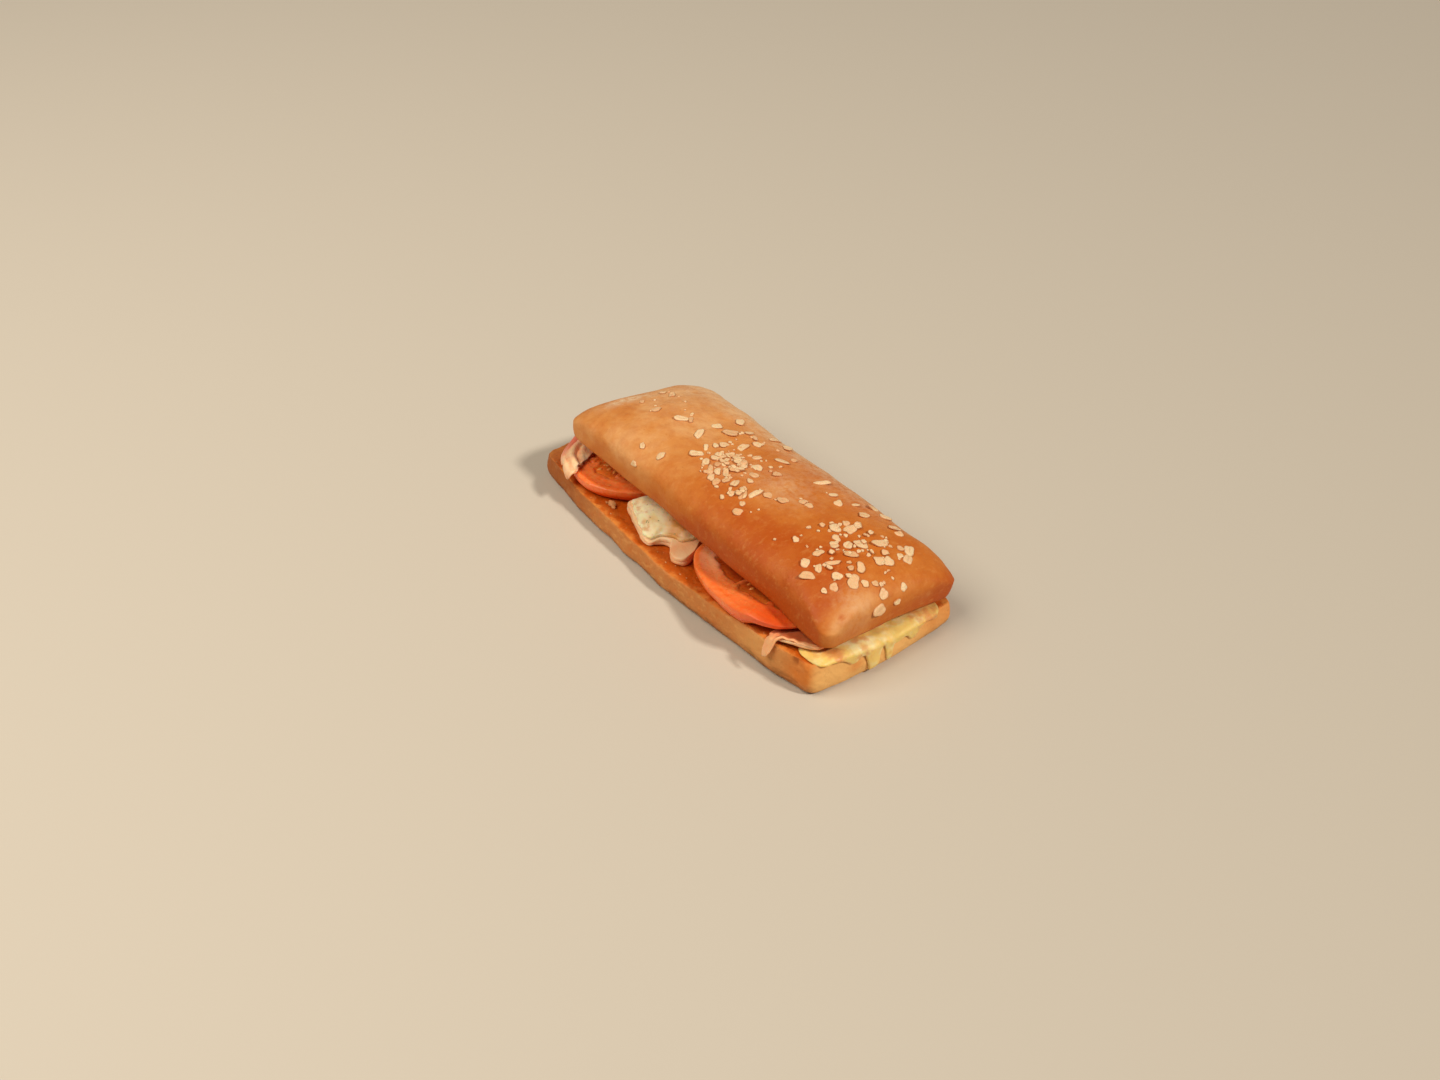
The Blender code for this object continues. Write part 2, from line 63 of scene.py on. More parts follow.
Array = np.ndarray
Number = Union[float, np.ndarray]
Pair = tuple[float, float]
Triple = tuple[float, float, float]
Rows = Sequence[tuple[float, ...]]
Colour = tuple[float, float, float, float]
Material = bpy.types.Material
Socket = bpy.types.NodeSocket
Value = Union[float, Socket]
Tint = Union[Colour, Socket]
Shell = tuple[Array, list]
HeightMap = Callable[[Number, Number], Array]

MM = 0.001
SHIFT = np.array((0.03, 2.23, 0.0))  # from the sandwich's own frame to the row frame, in mm
GAP = 0.35  # air between neighbouring pieces, in mm
TURN = 2.0 * math.pi
HASH_STEPS = np.array((73856093, 19349663, 83492791))  # spread the seeds of the bumps' lattice
HASH_SEED, HASH_FACTOR, HASH_MASK = 15485863, 1274126177, 0xFFFFFFFF


class Slot(Enum):
    """The record's material slots."""

    CRUST = "crust"
    BREAD = "bread"
    TURKEY = "turkey"
    CHEESE = "cheese"
    TOMATO = "tomato"


class Sum(Enum):
    """The sums that a finish does on numbers, by Blender's names."""

    PLUS = "ADD"
    TIMES = "MULTIPLY"
    LARGER = "MAXIMUM"


# ------------ numbers


def ramp(low: float, high: float, value: Number) -> Number:
    """Rise smoothly from 0 at low to 1 at high."""
    share = np.clip((value - low) / (high - low), 0.0, 1.0)
    return share * share * (3.0 - 2.0 * share)


def mix(first: Number, second: Number, share: Number) -> Number:
    """Blend two values by a share from 0 to 1."""
    return first + (second - first) * share


def waves(x: Number, rows: Rows) -> Number:
    """Add up sine waves along a line, each with its (height, length / 2 pi, phase) in mm."""
    return sum(height * np.sin(x / length + phase) for height, length, phase in rows)


def hump(x: Number, y: Number, centre: Pair, radii: Pair) -> Number:
    """A smooth hill of height 1 over an ellipse."""
    return np.exp(-(((x - centre[0]) / radii[0]) ** 2 + ((y - centre[1]) / radii[1]) ** 2))


def ridge(value: Number, centre: float, width: float) -> Number:
    """A smooth hill of height 1 along one axis."""
    return np.exp(-(((value - centre) / width) ** 2))


def hills(x: Number, y: Number, rows: Rows) -> Array:
    """Add up humps.

    Args:
        x, y: places in mm.
        rows: (x, y, radius along x, radius along y, height) of each hump.

    Returns:
        The height at each place.
    """
    total = np.zeros(np.shape(x))
    for centre_x, centre_y, radius_x, radius_y, height in rows:
        total = total + height * hump(x, y, (centre_x, centre_y), (radius_x, radius_y))
    return total


def flattened(value: Array, power: float) -> Array:
    """Raise the size of values to a power and keep their signs, as in a squarish oval."""
    return np.sign(value) * np.abs(value) ** power


def unit(vectors: Array) -> Array:
    """Vectors of length 1 along the given rows."""
    return vectors / np.linalg.norm(vectors, axis=1)[:, None]


def srgb(red: float, green: float, blue: float) -> Colour:
    """Turn a screen's colour, each part from 0 to 255, into a linear one with alpha."""
    shares = np.array((red, green, blue)) / 255.0
    return (*np.where(shares <= 0.04045, shares / 12.92, ((shares + 0.055) / 1.055) ** 2.4).tolist(), 1.0)


@dataclass(frozen=True)
class Bumps:
    """Smooth random bumps in space, the same each run.

    Fields: the distance between bumps in mm, a seed, and how many layers they have, each half
    as large as the one before.
    """

    size: float
    seed: int = 0
    layers: int = 1

    def at(self, points: Array) -> Array:
        """Height of the bumps, from -1 to 1.

        Args:
            points: places in mm, one row each.

        Returns:
            One height for each place.
        """
        total = np.zeros(len(points))
        weight, reach = 1.0, 0.0
        for layer in range(self.layers):
            cells = points * (2.0**layer / self.size) + 17.3 * layer
            total += weight * self._lattice(cells, self.seed + 101 * layer)
            reach += weight
            weight *= 0.5
        return total / reach

    def across(self, x: Array, y: Array) -> Array:
        """Height of the bumps in the level plane through the origin."""
        return self.at(np.column_stack((x, y, np.zeros(len(x)))))

    @staticmethod
    def _lattice(cells: Array, seed: int) -> Array:
        """Random values at whole numbers, blended smoothly between them.

        Args:
            cells: places, one row each, with 1 as the distance between the values.
            seed: of the values.

        Returns:
            One value for each place, from -1 to 1.
        """
        base = np.floor(cells).astype(np.int64)
        part = cells - base
        ease = part**3 * (part * (part * 6.0 - 15.0) + 10.0)
        total = np.zeros(len(cells))
        for corner in range(8):
            offset = np.array([(corner >> axis) & 1 for axis in range(3)])
            share = np.prod(np.where(offset == 1, ease, 1.0 - ease), axis=1)
            key = (base + offset) @ HASH_STEPS + seed * HASH_SEED
            key = ((key ^ (key >> 13)) * HASH_FACTOR) & HASH_MASK
            key ^= key >> 16
            total += share * ((key & 0xFFFF) / 32767.5 - 1.0)
        return total


Relief = tuple[tuple[float, Bumps], ...]


def lumpy(points: Array, relief: Relief) -> Array:
    """Add up bumps, each with its depth in mm."""
    return sum(depth * bumps.at(points) for depth, bumps in relief)


# ------------ outlines


@dataclass(frozen=True)
class Steps:
    """Points along half an end, one corner and half a side of a rounded rectangle."""

    end: int
    arc: int
    side: int


def rounded_rectangle(half_x: float, half_y: float, radius: float, steps: Steps) -> Array:
    """A rectangle with round corners, anticlockwise from the middle of its +X end.

    Args:
        half_x: half its length in mm.
        half_y: half its width in mm.
        radius: corner radius in mm.
        steps: how finely each stretch is cut.

    Returns:
        One (x, y) row for each point.
    """
    radius = min(radius, 0.95 * half_y)
    straight_x, straight_y = half_x - radius, half_y - radius
    turn = 0.25 * TURN * np.arange(steps.arc) / steps.arc
    ends = [(half_x, straight_y * step / steps.end) for step in range(steps.end)]
    corner = np.column_stack((straight_x + radius * np.cos(turn), straight_y + radius * np.sin(turn)))
    sides = [(straight_x * (1.0 - step / steps.side), half_y) for step in range(steps.side)]
    quarter = np.concatenate((ends, corner, sides))
    half = np.concatenate((quarter, [(0.0, half_y)], quarter[::-1] * (-1.0, 1.0)))
    return np.concatenate((half, half[-2:0:-1] * (1.0, -1.0)))


def through(points: Rows | Array, count: int, closed: bool = False) -> Array:
    """A Catmull-Rom curve through points, cut into even steps.

    Args:
        points: one row for each point, of any dimension.
        count: how many points to return.
        closed: whether the last point leads back to the first.

    Returns:
        The new points, one row each.
    """
    points = np.asarray(points, float)
    if closed:
        padded = np.concatenate((points[-1:], points, points[:2]))
    else:
        padded = np.concatenate((points[:1], points, points[-1:]))
    spans = len(padded) - 3
    t = np.linspace(0.0, spans, spans * 16, endpoint=False)
    span = t.astype(int)
    t = (t - span)[:, None]
    a, b, c, d = (padded[span + step] for step in range(4))
    cubic = 2.0 * b + (c - a) * t + (2.0 * a - 5.0 * b + 4.0 * c - d) * t**2
    dense = 0.5 * (cubic + (3.0 * b - a - 3.0 * c + d) * t**3)
    dense = np.concatenate((dense, points[:1] if closed else points[-1:]))
    reach = np.concatenate(([0.0], np.cumsum(np.linalg.norm(np.diff(dense, axis=0), axis=1))))
    wanted = np.linspace(0.0, reach[-1], count, endpoint=not closed)
    return np.stack([np.interp(wanted, reach, column) for column in dense.T], axis=1)


def ragged(outline: Rows, count: int, centre: Pair, amount: float, bumps: Bumps) -> Array:
    """A smooth outline whose edge wanders by up to a share of its distance from the centre."""
    edge = through(outline, count, closed=True)
    return edge + (edge - centre) * (amount * bumps.across(*edge.T))[:, None]


def shrunk(edge: Array, centre: Pair, share: float) -> Array:
    """An outline at a share of its distance from its centre."""
    return np.array(centre) + (edge - centre) * share


def between(flat: Array, lower: HeightMap, upper: HeightMap, level: float) -> Array:
    """Lift flat points to a level from 0 on a lower to 1 on an upper surface."""
    x, y = flat.T
    return np.column_stack((flat, mix(lower(x, y), upper(x, y), level)))


# ------------ meshes


def placed(name: str, data: bpy.types.ID) -> bpy.types.Object:
    """Put an object with the given data into the scene.

    Args:
        name: the object's name.
        data: its mesh, camera or light.

    Returns:
        The object.
    """
    made = bpy.data.objects.new(name, data)
    bpy.context.scene.collection.objects.link(made)
    return made


class Shape:
    """A closed mesh in millimetres that is shaped further and then becomes a piece."""

    def __init__(self, name: str, points: Array, faces: list) -> None:
        """Make the mesh.

        Args:
            name: the piece's name.
            points: one (x, y, z) row for each vertex, in mm in the sandwich's own frame.
            faces: vertex numbers of each face, anticlockwise from outside.
        """
        self.name = name
        self.mesh = bpy.data.meshes.new(name)
        self.mesh.from_pydata(np.asarray(points).tolist(), [], faces)
        self.mesh.update()

    def _read(self, values: bpy.types.bpy_prop_collection, name: str) -> Array:
        """One row for each of the mesh's vertices or normals, from the named property."""
        values.foreach_get(name, flat := np.empty(len(values) * 3, np.float32))
        return flat.reshape(-1, 3).astype(float)

    @property
    def points(self) -> Array:
        """The vertices, one row each, in mm."""
        return self._read(self.mesh.vertices, "co")

    @points.setter
    def points(self, points: Array) -> None:
        """Move the vertices to new places, in mm."""
        self.mesh.vertices.foreach_set("co", points.astype(np.float32).ravel())
        self.mesh.update()

    def swell(self, amount: Array) -> None:
        """Move each vertex outwards by its own amount, in mm."""
        self.points = self.points + self._read(self.mesh.vertex_normals, "vector") * amount[:, None]

    def masks(self, **masks: Number) -> None:
        """Store numbers for the finish to read.

        Args:
            **masks: one number for each vertex, or one for all, by name.
        """
        for name, values in masks.items():
            attribute = self.mesh.attributes.new(name, "FLOAT", "POINT")
            attribute.data.foreach_set("value", np.full(len(attribute.data), values, np.float32))

    def tree(self) -> BVHTree:
        """A search tree of the mesh, in mm, for setting things down on it."""
        faces = [tuple(face.vertices) for face in self.mesh.polygons]
        return BVHTree.FromPolygons(self.points.tolist(), faces)

    def piece(self, material: Material, slot: Slot, *replaced: str) -> None:
        """Turn the shape into a finished piece in the row frame, which rides on the one body.

        Args:
            material: its finish.
            slot: the record's material slot that it belongs to; not used.
            *replaced: the solid nodes that it stands for.
        """
        self.points = (self.points + SHIFT) * MM
        self.mesh.shade_smooth()
        self.mesh.materials.append(material)
        made = placed(self.name, self.mesh)
        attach(made, "root")
        if replaced:
            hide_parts(*replaced)
        log.info("%s: %d faces", self.name, len(self.mesh.polygons))


def ring_faces(rings: int, size: int) -> list:
    """Quads between closed rings of points that run up the outside.

    Args:
        rings: how many rings there are.
        size: how many points each has.

    Returns:
        The point numbers of each face.
    """
    ring, column = np.meshgrid(np.arange(rings - 1), np.arange(size), indexing="ij")
    after = (column + 1) % size
    low, high = ring * size, (ring + 1) * size
    quads = np.stack((low + column, low + after, high + after, high + column), axis=-1)
    return quads.reshape(-1, 4).tolist()


def ridge_faces(start: int, size: int, upwards: bool) -> list:
    """Close a ring that has shrunk to a ridge along X.

    Args:
        start: number of its first point.
        size: how many points it has.
        upwards: whether the faces look up or down.

    Returns:
        The point numbers of each face.
    """
    faces = []
    for index in range(size // 2):
        loop = [start + index, start + index + 1]
        loop += [start + (size - index - 1) % size, start + (size - index) % size]
        loop = list(dict.fromkeys(loop))
        faces.append(loop if upwards else loop[::-1])
    return faces


def ridge_shape(name: str, rings: Sequence[Array]) -> Shape:
    """A closed shape from rings that begin and end as ridges along X.

    Args:
        name: the piece's name.
        rings: points of each ring, from the lower ridge to the upper one.

    Returns:
        The shape.
    """
    size = len(rings[0])
    faces = ring_faces(len(rings), size)
    faces += ridge_faces(0, size, upwards=False)
    faces += ridge_faces((len(rings) - 1) * size, size, upwards=True)
    return Shape(name, np.concatenate(rings), faces)


def fan_shell(rings: Sequence[Array], bottom: Sequence[float], top: Sequence[float]) -> Shell:
    """A closed body from rings, shut by fans round a bottom and a top point.

    Args:
        rings: points of each ring, from the bottom to the top.
        bottom: the point below the first ring.
        top: the point above the last ring.

    Returns:
        Its points and faces.
    """
    size = len(rings[0])
    points = np.concatenate([*rings, [bottom], [top]])
    faces = ring_faces(len(rings), size)
    low, high, last = len(points) - 2, len(points) - 1, (len(rings) - 1) * size
    for index in range(size):
        after = (index + 1) % size
        faces.append([after, index, low])
        faces.append([last + index, last + after, high])
    return points, faces


def slab_shape(
    name: str, rings: Sequence[Array], centre: Pair, lower: HeightMap, upper: HeightMap
) -> Shape:
    """A closed slice from rings that run out over its underside and back over its upper side."""
    return Shape(name, *fan_shell(rings, (*centre, lower(*centre)), (*centre, upper(*centre))))


def joined(shells: Sequence[Shell]) -> Shell:
    """Gather several closed bodies into one list of points and faces.

    Args:
        shells: points and faces of each.

    Returns:
        All the points and all the faces.
    """
    faces, count = [], 0
    for points, own in shells:
        faces += [[index + count for index in face] for face in own]
        count += len(points)
    return np.concatenate([points for points, _ in shells]), faces


@dataclass(frozen=True)
class TornStrip:
    """A torn strip that follows a path and narrows at both ends, with sizes in mm.

    Fields: points on the path, the strip's width and thickness, the direction that its width
    lies in, steps along and around it, and how it is flattened and rippled.
    """

    path: Rows
    width: float
    thickness: float
    lean: Triple
    steps: int = 44
    steps_around: int = 20
    flatness: float = 0.7
    ripple: float = 0.22
    ripple_rate: float = 2.6

    def shell(self) -> Shell:
        """Make the closed body.

        Returns:
            Its points and faces.
        """
        line = through(self.path, self.steps)
        ahead = unit(np.gradient(line, axis=0))
        lean = np.array(self.lean)
        side = unit(lean - ahead * (ahead @ lean)[:, None])
        up = np.cross(ahead, side)
        angle = np.linspace(0.0, TURN, self.steps_around, endpoint=False)
        across = flattened(np.cos(angle), self.flatness) * 0.5 * self.width
        high = flattened(np.sin(angle), self.flatness) * 0.5 * self.thickness
        high = high + self.ripple * self.thickness * np.cos(across * self.ripple_rate)
        taper = (1.0 - np.abs(np.linspace(-0.99, 0.99, self.steps)) ** 5.0) ** 0.5
        section = across[:, None, None] * side + high[:, None, None] * up
        rings = line + taper[:, None] * section
        return fan_shell(rings.transpose(1, 0, 2), line[0], line[-1])


def folded_shape(name: str, inner: Array, outer: Array) -> Shape:
    """A closed sheet between two grids of points with the same rows and columns.

    Args:
        name: the piece's name.
        inner: points of the inner side, by row and column.
        outer: points of the outer side.

    Returns:
        The shape.
    """
    rows, columns = inner.shape[:2]
    loops = [np.concatenate((outer[row], inner[row][::-1])) for row in range(rows)]
    size = 2 * columns
    faces = [face[::-1] for face in ring_faces(rows, size)]
    last = (rows - 1) * size
    for column in range(columns - 1):
        mirror = size - 1 - column
        faces.append([column, column + 1, mirror - 1, mirror])
        faces.append([last + mirror, last + mirror - 1, last + column + 1, last + column])
    return Shape(name, np.concatenate(loops), faces)


@dataclass(frozen=True)
class Leaf:
    """A thin slice with a rounded edge, which follows a height function at full thickness.

    Fields: its edge seen from above, a point inside, height of its middle, and thickness in mm.
    """

    edge: Array
    centre: Pair
    height: HeightMap
    thickness: float
    probe: float = 0.15

    def layer(self, share: float, side: float) -> Array:
        """One ring of points.

        Args:
            share: its share of the outline.
            side: -1 on the underside, 0 in the middle and 1 on the upper side.

        Returns:
            The points.
        """
        x, y = shrunk(self.edge, self.centre, share).T
        probe, height = self.probe, self.height
        slope_x = (height(x + probe, y) - height(x - probe, y)) / (2.0 * probe)
        slope_y = (height(x, y + probe) - height(x, y - probe)) / (2.0 * probe)
        up = unit(np.column_stack((-slope_x, -slope_y, np.ones(len(x)))))
        return np.column_stack((x, y, height(x, y))) + up * (0.5 * self.thickness * side)

    def shell(self) -> Shell:
        """Make the closed body.

        Returns:
            Its points and faces.
        """
        shares = [*np.linspace(0.04, 0.9, 34), *np.linspace(0.915, 0.985, 6)]
        rings = [self.layer(share, -1.0) for share in shares]
        rings += [self.layer(*rim) for rim in ((1.0, -0.55), (1.006, 0.0), (1.0, 0.55))]
        rings += [self.layer(share, 1.0) for share in shares[::-1]]
        middle = self.height(*np.array(self.centre)[:, None])[0]
        half = 0.5 * self.thickness
        return fan_shell(rings, (*self.centre, middle - half), (*self.centre, middle + half))


# ------------ finishes


class Recipe:
    """A material's node tree, written one step at a time."""

    def __init__(self, name: str) -> None:
        """Start a material with its Principled shader.

        Args:
            name: the material's name.
        """
        self.material = bpy.data.materials.new(name)
        self.material.use_nodes = True
        self.tree = self.material.node_tree
        self.shader = self.tree.nodes["Principled BSDF"]
        self.place = self.tree.nodes.new("ShaderNodeTexCoord").outputs["Object"]

    def feed(self, socket: Socket, value: Value | Sequence[float]) -> None:
        """Fill a socket.

        Args:
            socket: the socket.
            value: another socket that is linked to it, or the number or colour that it is set to.
        """
        if isinstance(value, bpy.types.NodeSocket):
            self.tree.links.new(value, socket)
        else:
            socket.default_value = value

    def node(self, kind: str, **values: Value | Sequence[float]) -> bpy.types.Node:
        """Add a node.

        Args:
            kind: the last part of Blender's name of it.
            **values: what goes into its sockets.

        Returns:
            The node.
        """
        made = self.tree.nodes.new("ShaderNode" + kind)
        for name, value in values.items():
            self.feed(made.inputs[name], value)
        return made

    def noise(
        self, size: float, detail: float = 3.0, rough: float = 0.5, stretch: Triple | None = None
    ) -> Socket:
        """Cloudy noise from 0 to 1.

        Args:
            size: size of its clouds in mm.
            detail: how many finer layers it has.
            rough: how strong they are.
            stretch: how far the clouds are drawn out along each axis.

        Returns:
            The socket with the noise.
        """
        place = self.place
        if stretch is not None:
            scale = [1.0 / factor for factor in stretch]
            place = self.node("Mapping", Vector=place, Scale=scale).outputs["Vector"]
        node = self.node("TexNoise", Vector=place, Scale=1.0 / (size * MM), Detail=detail, Roughness=rough)
        return node.outputs["Fac"]

    def cells(self, size: float) -> Socket:
        """Distance to the nearest of points scattered about size mm apart, as a share of size."""
        return self.node("TexVoronoi", Vector=self.place, Scale=1.0 / (size * MM)).outputs["Distance"]

    def mask(self, name: str) -> Socket:
        """A number that the mesh stores for each vertex.

        Args:
            name: the mask's name.

        Returns:
            The socket with the number.
        """
        node = self.node("Attribute")
        node.attribute_name = name
        return node.outputs["Fac"]

    def band(
        self, value: Value, low: float, high: float, start: float = 0.0, end: float = 1.0
    ) -> Socket:
        """Map a value smoothly from one range onto another.

        Args:
            value: number or socket.
            low: lower end of its range.
            high: upper end of its range.
            start: what low becomes.
            end: what high becomes.

        Returns:
            The socket with the new value.
        """
        node = self.node("MapRange")
        node.interpolation_type = "SMOOTHSTEP"
        for socket, number in zip(node.inputs, (value, low, high, start, end)):
            self.feed(socket, number)
        return node.outputs["Result"]

    def sum(self, kind: Sum, first: Value, second: Value) -> Socket:
        """Do a sum on two numbers.

        Args:
            kind: the sum.
            first: number or socket.
            second: number or socket.

        Returns:
            The socket with the result.
        """
        node = self.node("Math")
        node.operation = kind.value
        self.feed(node.inputs[0], first)
        self.feed(node.inputs[1], second)
        return node.outputs["Value"]

    def blend(self, first: Tint, second: Tint, share: Value, strength: float = 1.0) -> Socket:
        """Blend two colours.

        Args:
            first: socket or colour.
            second: socket or colour.
            share: how much of the second, 0 to 1.
            strength: how much the share counts.

        Returns:
            The socket with the colour.
        """
        node = self.node("Mix")
        node.data_type = "RGBA"
        if strength != 1.0:
            share = self.sum(Sum.TIMES, share, strength)
        for number, value in ((0, share), (6, first), (7, second)):
            self.feed(node.inputs[number], value)
        return node.outputs[2]

    def bump(self, height: Socket, depth: float, onto: Socket | None = None) -> Socket:
        """Fine relief.

        Args:
            height: socket with its height, 0 to 1.
            depth: how deep it is, in mm.
            onto: an earlier relief that this one is added to.

        Returns:
            The socket with the changed normal.
        """
        node = self.node("Bump", Strength=1.0, Distance=depth * MM, Height=height)
        if onto is not None:
            self.feed(node.inputs["Normal"], onto)
        return node.outputs["Normal"]

    def made(
        self, colour: Socket, roughness: Value, normal: Socket, **numbers: float
    ) -> Material:
        """Feed the shader and hand over the material.

        Args:
            colour: socket with the base colour.
            roughness: number or socket.
            normal: socket with the relief.
            **numbers: other inputs by name, with _ for a space.

        Returns:
            The finished material.
        """
        self.feed(self.shader.inputs["Base Color"], colour)
        self.feed(self.shader.inputs["Roughness"], roughness)
        self.feed(self.shader.inputs["Normal"], normal)
        for name, number in numbers.items():
            self.shader.inputs[name.replace("_", " ")].default_value = number
        return self.material


@dataclass(frozen=True)
class CrustFinish:
    """Golden brown crust of the top half, with the crumb of its cut face underneath."""

    pale: Colour = srgb(228, 168, 106)
    tan: Colour = srgb(216, 142, 72)
    golden: Colour = srgb(203, 114, 38)
    brown: Colour = srgb(183, 80, 12)
    scorched: Colour = srgb(136, 55, 10)
    # flour, also used for painted highlights
    flour: Colour = srgb(232, 196, 152)
    crumb: Colour = srgb(226, 150, 80)
    # soaked patches of the cut face's crumb
    soaked: Colour = srgb(168, 72, 14)

    def material(self) -> Material:
        """Make it from the masks bake, flour and crumb.

        Returns:
            The material.
        """
        look = Recipe("toasted_crust")
        uneven = look.band(look.noise(14.0, 5.0, 0.6), 0.3, 0.7, -0.13, 0.13)
        # the mask mixes browning with painted shade and painted highlights
        bake = look.sum(Sum.PLUS, look.mask("bake"), uneven)
        colour = look.blend(self.pale, self.tan, look.band(bake, -0.1, 0.3))
        colour = look.blend(colour, self.golden, look.band(bake, 0.15, 0.6))
        colour = look.blend(colour, self.brown, look.band(bake, 0.5, 1.05))
        mottle = look.band(look.noise(4.6, 6.0, 0.65), 0.36, 0.7)
        colour = look.blend(colour, self.brown, mottle, 0.30)
        freckles = look.band(look.noise(1.3, 3.0, 0.6), 0.60, 0.76)
        colour = look.blend(colour, self.scorched, freckles, 0.22)
        light = look.band(look.noise(2.4, 5.0, 0.65, (1.0, 1.8, 1.0)), 0.50, 0.72)
        colour = look.blend(colour, self.tan, light, 0.34)
        patchy = look.band(look.noise(2.8, 5.0, 0.7), 0.25, 0.68)
        colour = look.blend(colour, self.flour, look.sum(Sum.TIMES, look.mask("flour"), patchy))
        inside = look.band(look.sum(Sum.PLUS, look.mask("crumb"), look.noise(1.6)), 0.85, 1.15)
        soft = look.blend(self.crumb, self.soaked, look.band(look.noise(7.0, 4.0), 0.35, 0.7))
        colour = look.blend(colour, soft, inside)
        gloss = look.band(look.noise(6.0, 4.0), 0.3, 0.7, 0.46, 0.62)
        relief = look.bump(look.noise(4.6, 6.0, 0.6), 0.50)
        relief = look.bump(look.noise(1.1, 3.0, 0.5), 0.06, relief)
        dull = look.sum(Sum.LARGER, gloss, look.band(inside, 0.0, 1.0, 0.0, 0.85))
        return look.made(colour, dull, relief, Specular_IOR_Level=0.24)


@dataclass(frozen=True)
class BreadFinish:
    """Toasted crust and soaked, airy crumb of the bottom half."""

    crust: Colour = srgb(204, 128, 64)
    # painted shade: darker low on the side
    under: Colour = srgb(146, 88, 40)
    pale: Colour = srgb(244, 186, 108)
    orange: Colour = srgb(228, 121, 24)
    # dark specks, also painted shade in the air holes
    dark: Colour = srgb(116, 56, 20)
    crumb: Colour = srgb(216, 128, 48)
    # soaked crumb, also painted shade under the fillings
    soaked: Colour = srgb(190, 84, 10)
    rim: Colour = srgb(210, 110, 40)
    shaded: Colour = srgb(148, 70, 10)

    def material(self) -> Material:
        """Make it from the masks crumb, rise, pale, orange, soak, dry and far.

        Returns:
            The material.
        """
        look = Recipe("toasted_bread")
        streaks = look.band(look.noise(5.0, 5.0, 0.6, (2.2, 1.0, 0.6)), 0.3, 0.7, -0.16, 0.16)
        level = look.sum(Sum.PLUS, look.mask("rise"), streaks)
        # painted shade: the side turns darker towards the bottom
        colour = look.blend(self.under, self.crust, look.band(level, 0.06, 0.38))
        patches = look.band(look.noise(4.4, 5.0, 0.6), 0.44, 0.72)
        colour = look.blend(colour, self.rim, patches, 0.50)
        worn = look.band(look.noise(3.2, 5.0, 0.6, (1.6, 1.0, 0.8)), 0.50, 0.70)
        colour = look.blend(colour, self.pale, worn, 0.32)
        colour = look.blend(colour, self.orange, look.mask("orange"), 0.85)
        # painted light on the +X end and the near side
        colour = look.blend(colour, self.pale, look.mask("pale"))
        specks = look.band(look.noise(1.6, 4.0, 0.6), 0.60, 0.74)
        colour = look.blend(colour, self.dark, specks, 0.22)
        colour = look.blend(colour, self.shaded, look.mask("far"))
        inside = look.band(look.sum(Sum.PLUS, look.mask("crumb"), look.noise(1.2)), 0.9, 1.1)
        uneven = look.band(look.noise(5.5, 4.0), 0.3, 0.7, -0.3, 0.3)
        # wetter and darker away from the rim: soaked crumb, with painted shade under the fillings
        wet = look.sum(Sum.PLUS, look.mask("soak"), uneven)
        soft = look.blend(self.crumb, self.soaked, look.band(wet, 0.1, 0.8))
        soft = look.blend(soft, self.crust, look.mask("dry"), 0.6)
        airy = look.cells(1.7)
        # painted shade in the air holes of the crumb
        soft = look.blend(soft, self.dark, look.band(airy, 0.0, 0.40, 1.0, 0.0), 0.30)
        colour = look.blend(colour, soft, inside)
        relief = look.bump(look.noise(2.8, 5.0, 0.55), 0.40)
        relief = look.bump(airy, 0.18, relief)
        dull = look.band(wet, 0.2, 0.9, 0.75, 0.42)
        return look.made(colour, dull, relief, Specular_IOR_Level=0.3)


@dataclass(frozen=True)
class TurkeyFinish:
    """Moist sliced turkey: pink and cream with fine fibres."""

    pink: Colour = srgb(248, 168, 120)
    cream: Colour = srgb(253, 208, 156)
    rosy: Colour = srgb(234, 118, 92)
    browned: Colour = srgb(248, 154, 82)
    # painted shade between the +X tomato's tip and the crown
    soaked: Colour = srgb(176, 72, 22)
    blush: Triple = (1.0, 0.45, 0.3)

    def material(self) -> Material:
        """Make it from the masks rosy, warm, light and soak.

        Returns:
            The material.
        """
        look = Recipe("sliced_turkey")
        fibres = look.noise(1.0, 4.0, 0.6, (3.0, 1.0, 1.0))
        marbled = look.band(look.noise(6.0, 5.0, 0.6), 0.35, 0.68)
        colour = look.blend(self.cream, self.pink, marbled)
        colour = look.blend(colour, self.cream, look.band(fibres, 0.5, 0.8, 0.0, 0.4))
        colour = look.blend(colour, self.browned, look.mask("warm"))
        colour = look.blend(colour, self.cream, look.mask("light"), 0.9)
        colour = look.blend(colour, self.rosy, look.mask("rosy"))
        # painted shade between the tomato's tip and the crown
        colour = look.blend(colour, self.soaked, look.mask("soak"))
        relief = look.bump(fibres, 0.12)
        relief = look.bump(look.noise(3.0, 4.0), 0.25, relief)
        wet = look.band(look.noise(4.0, 3.0), 0.35, 0.65, 0.36, 0.54)
        look.shader.inputs["Subsurface Radius"].default_value = self.blush
        return look.made(colour, wet, relief, Subsurface_Weight=0.35, Subsurface_Scale=0.002)


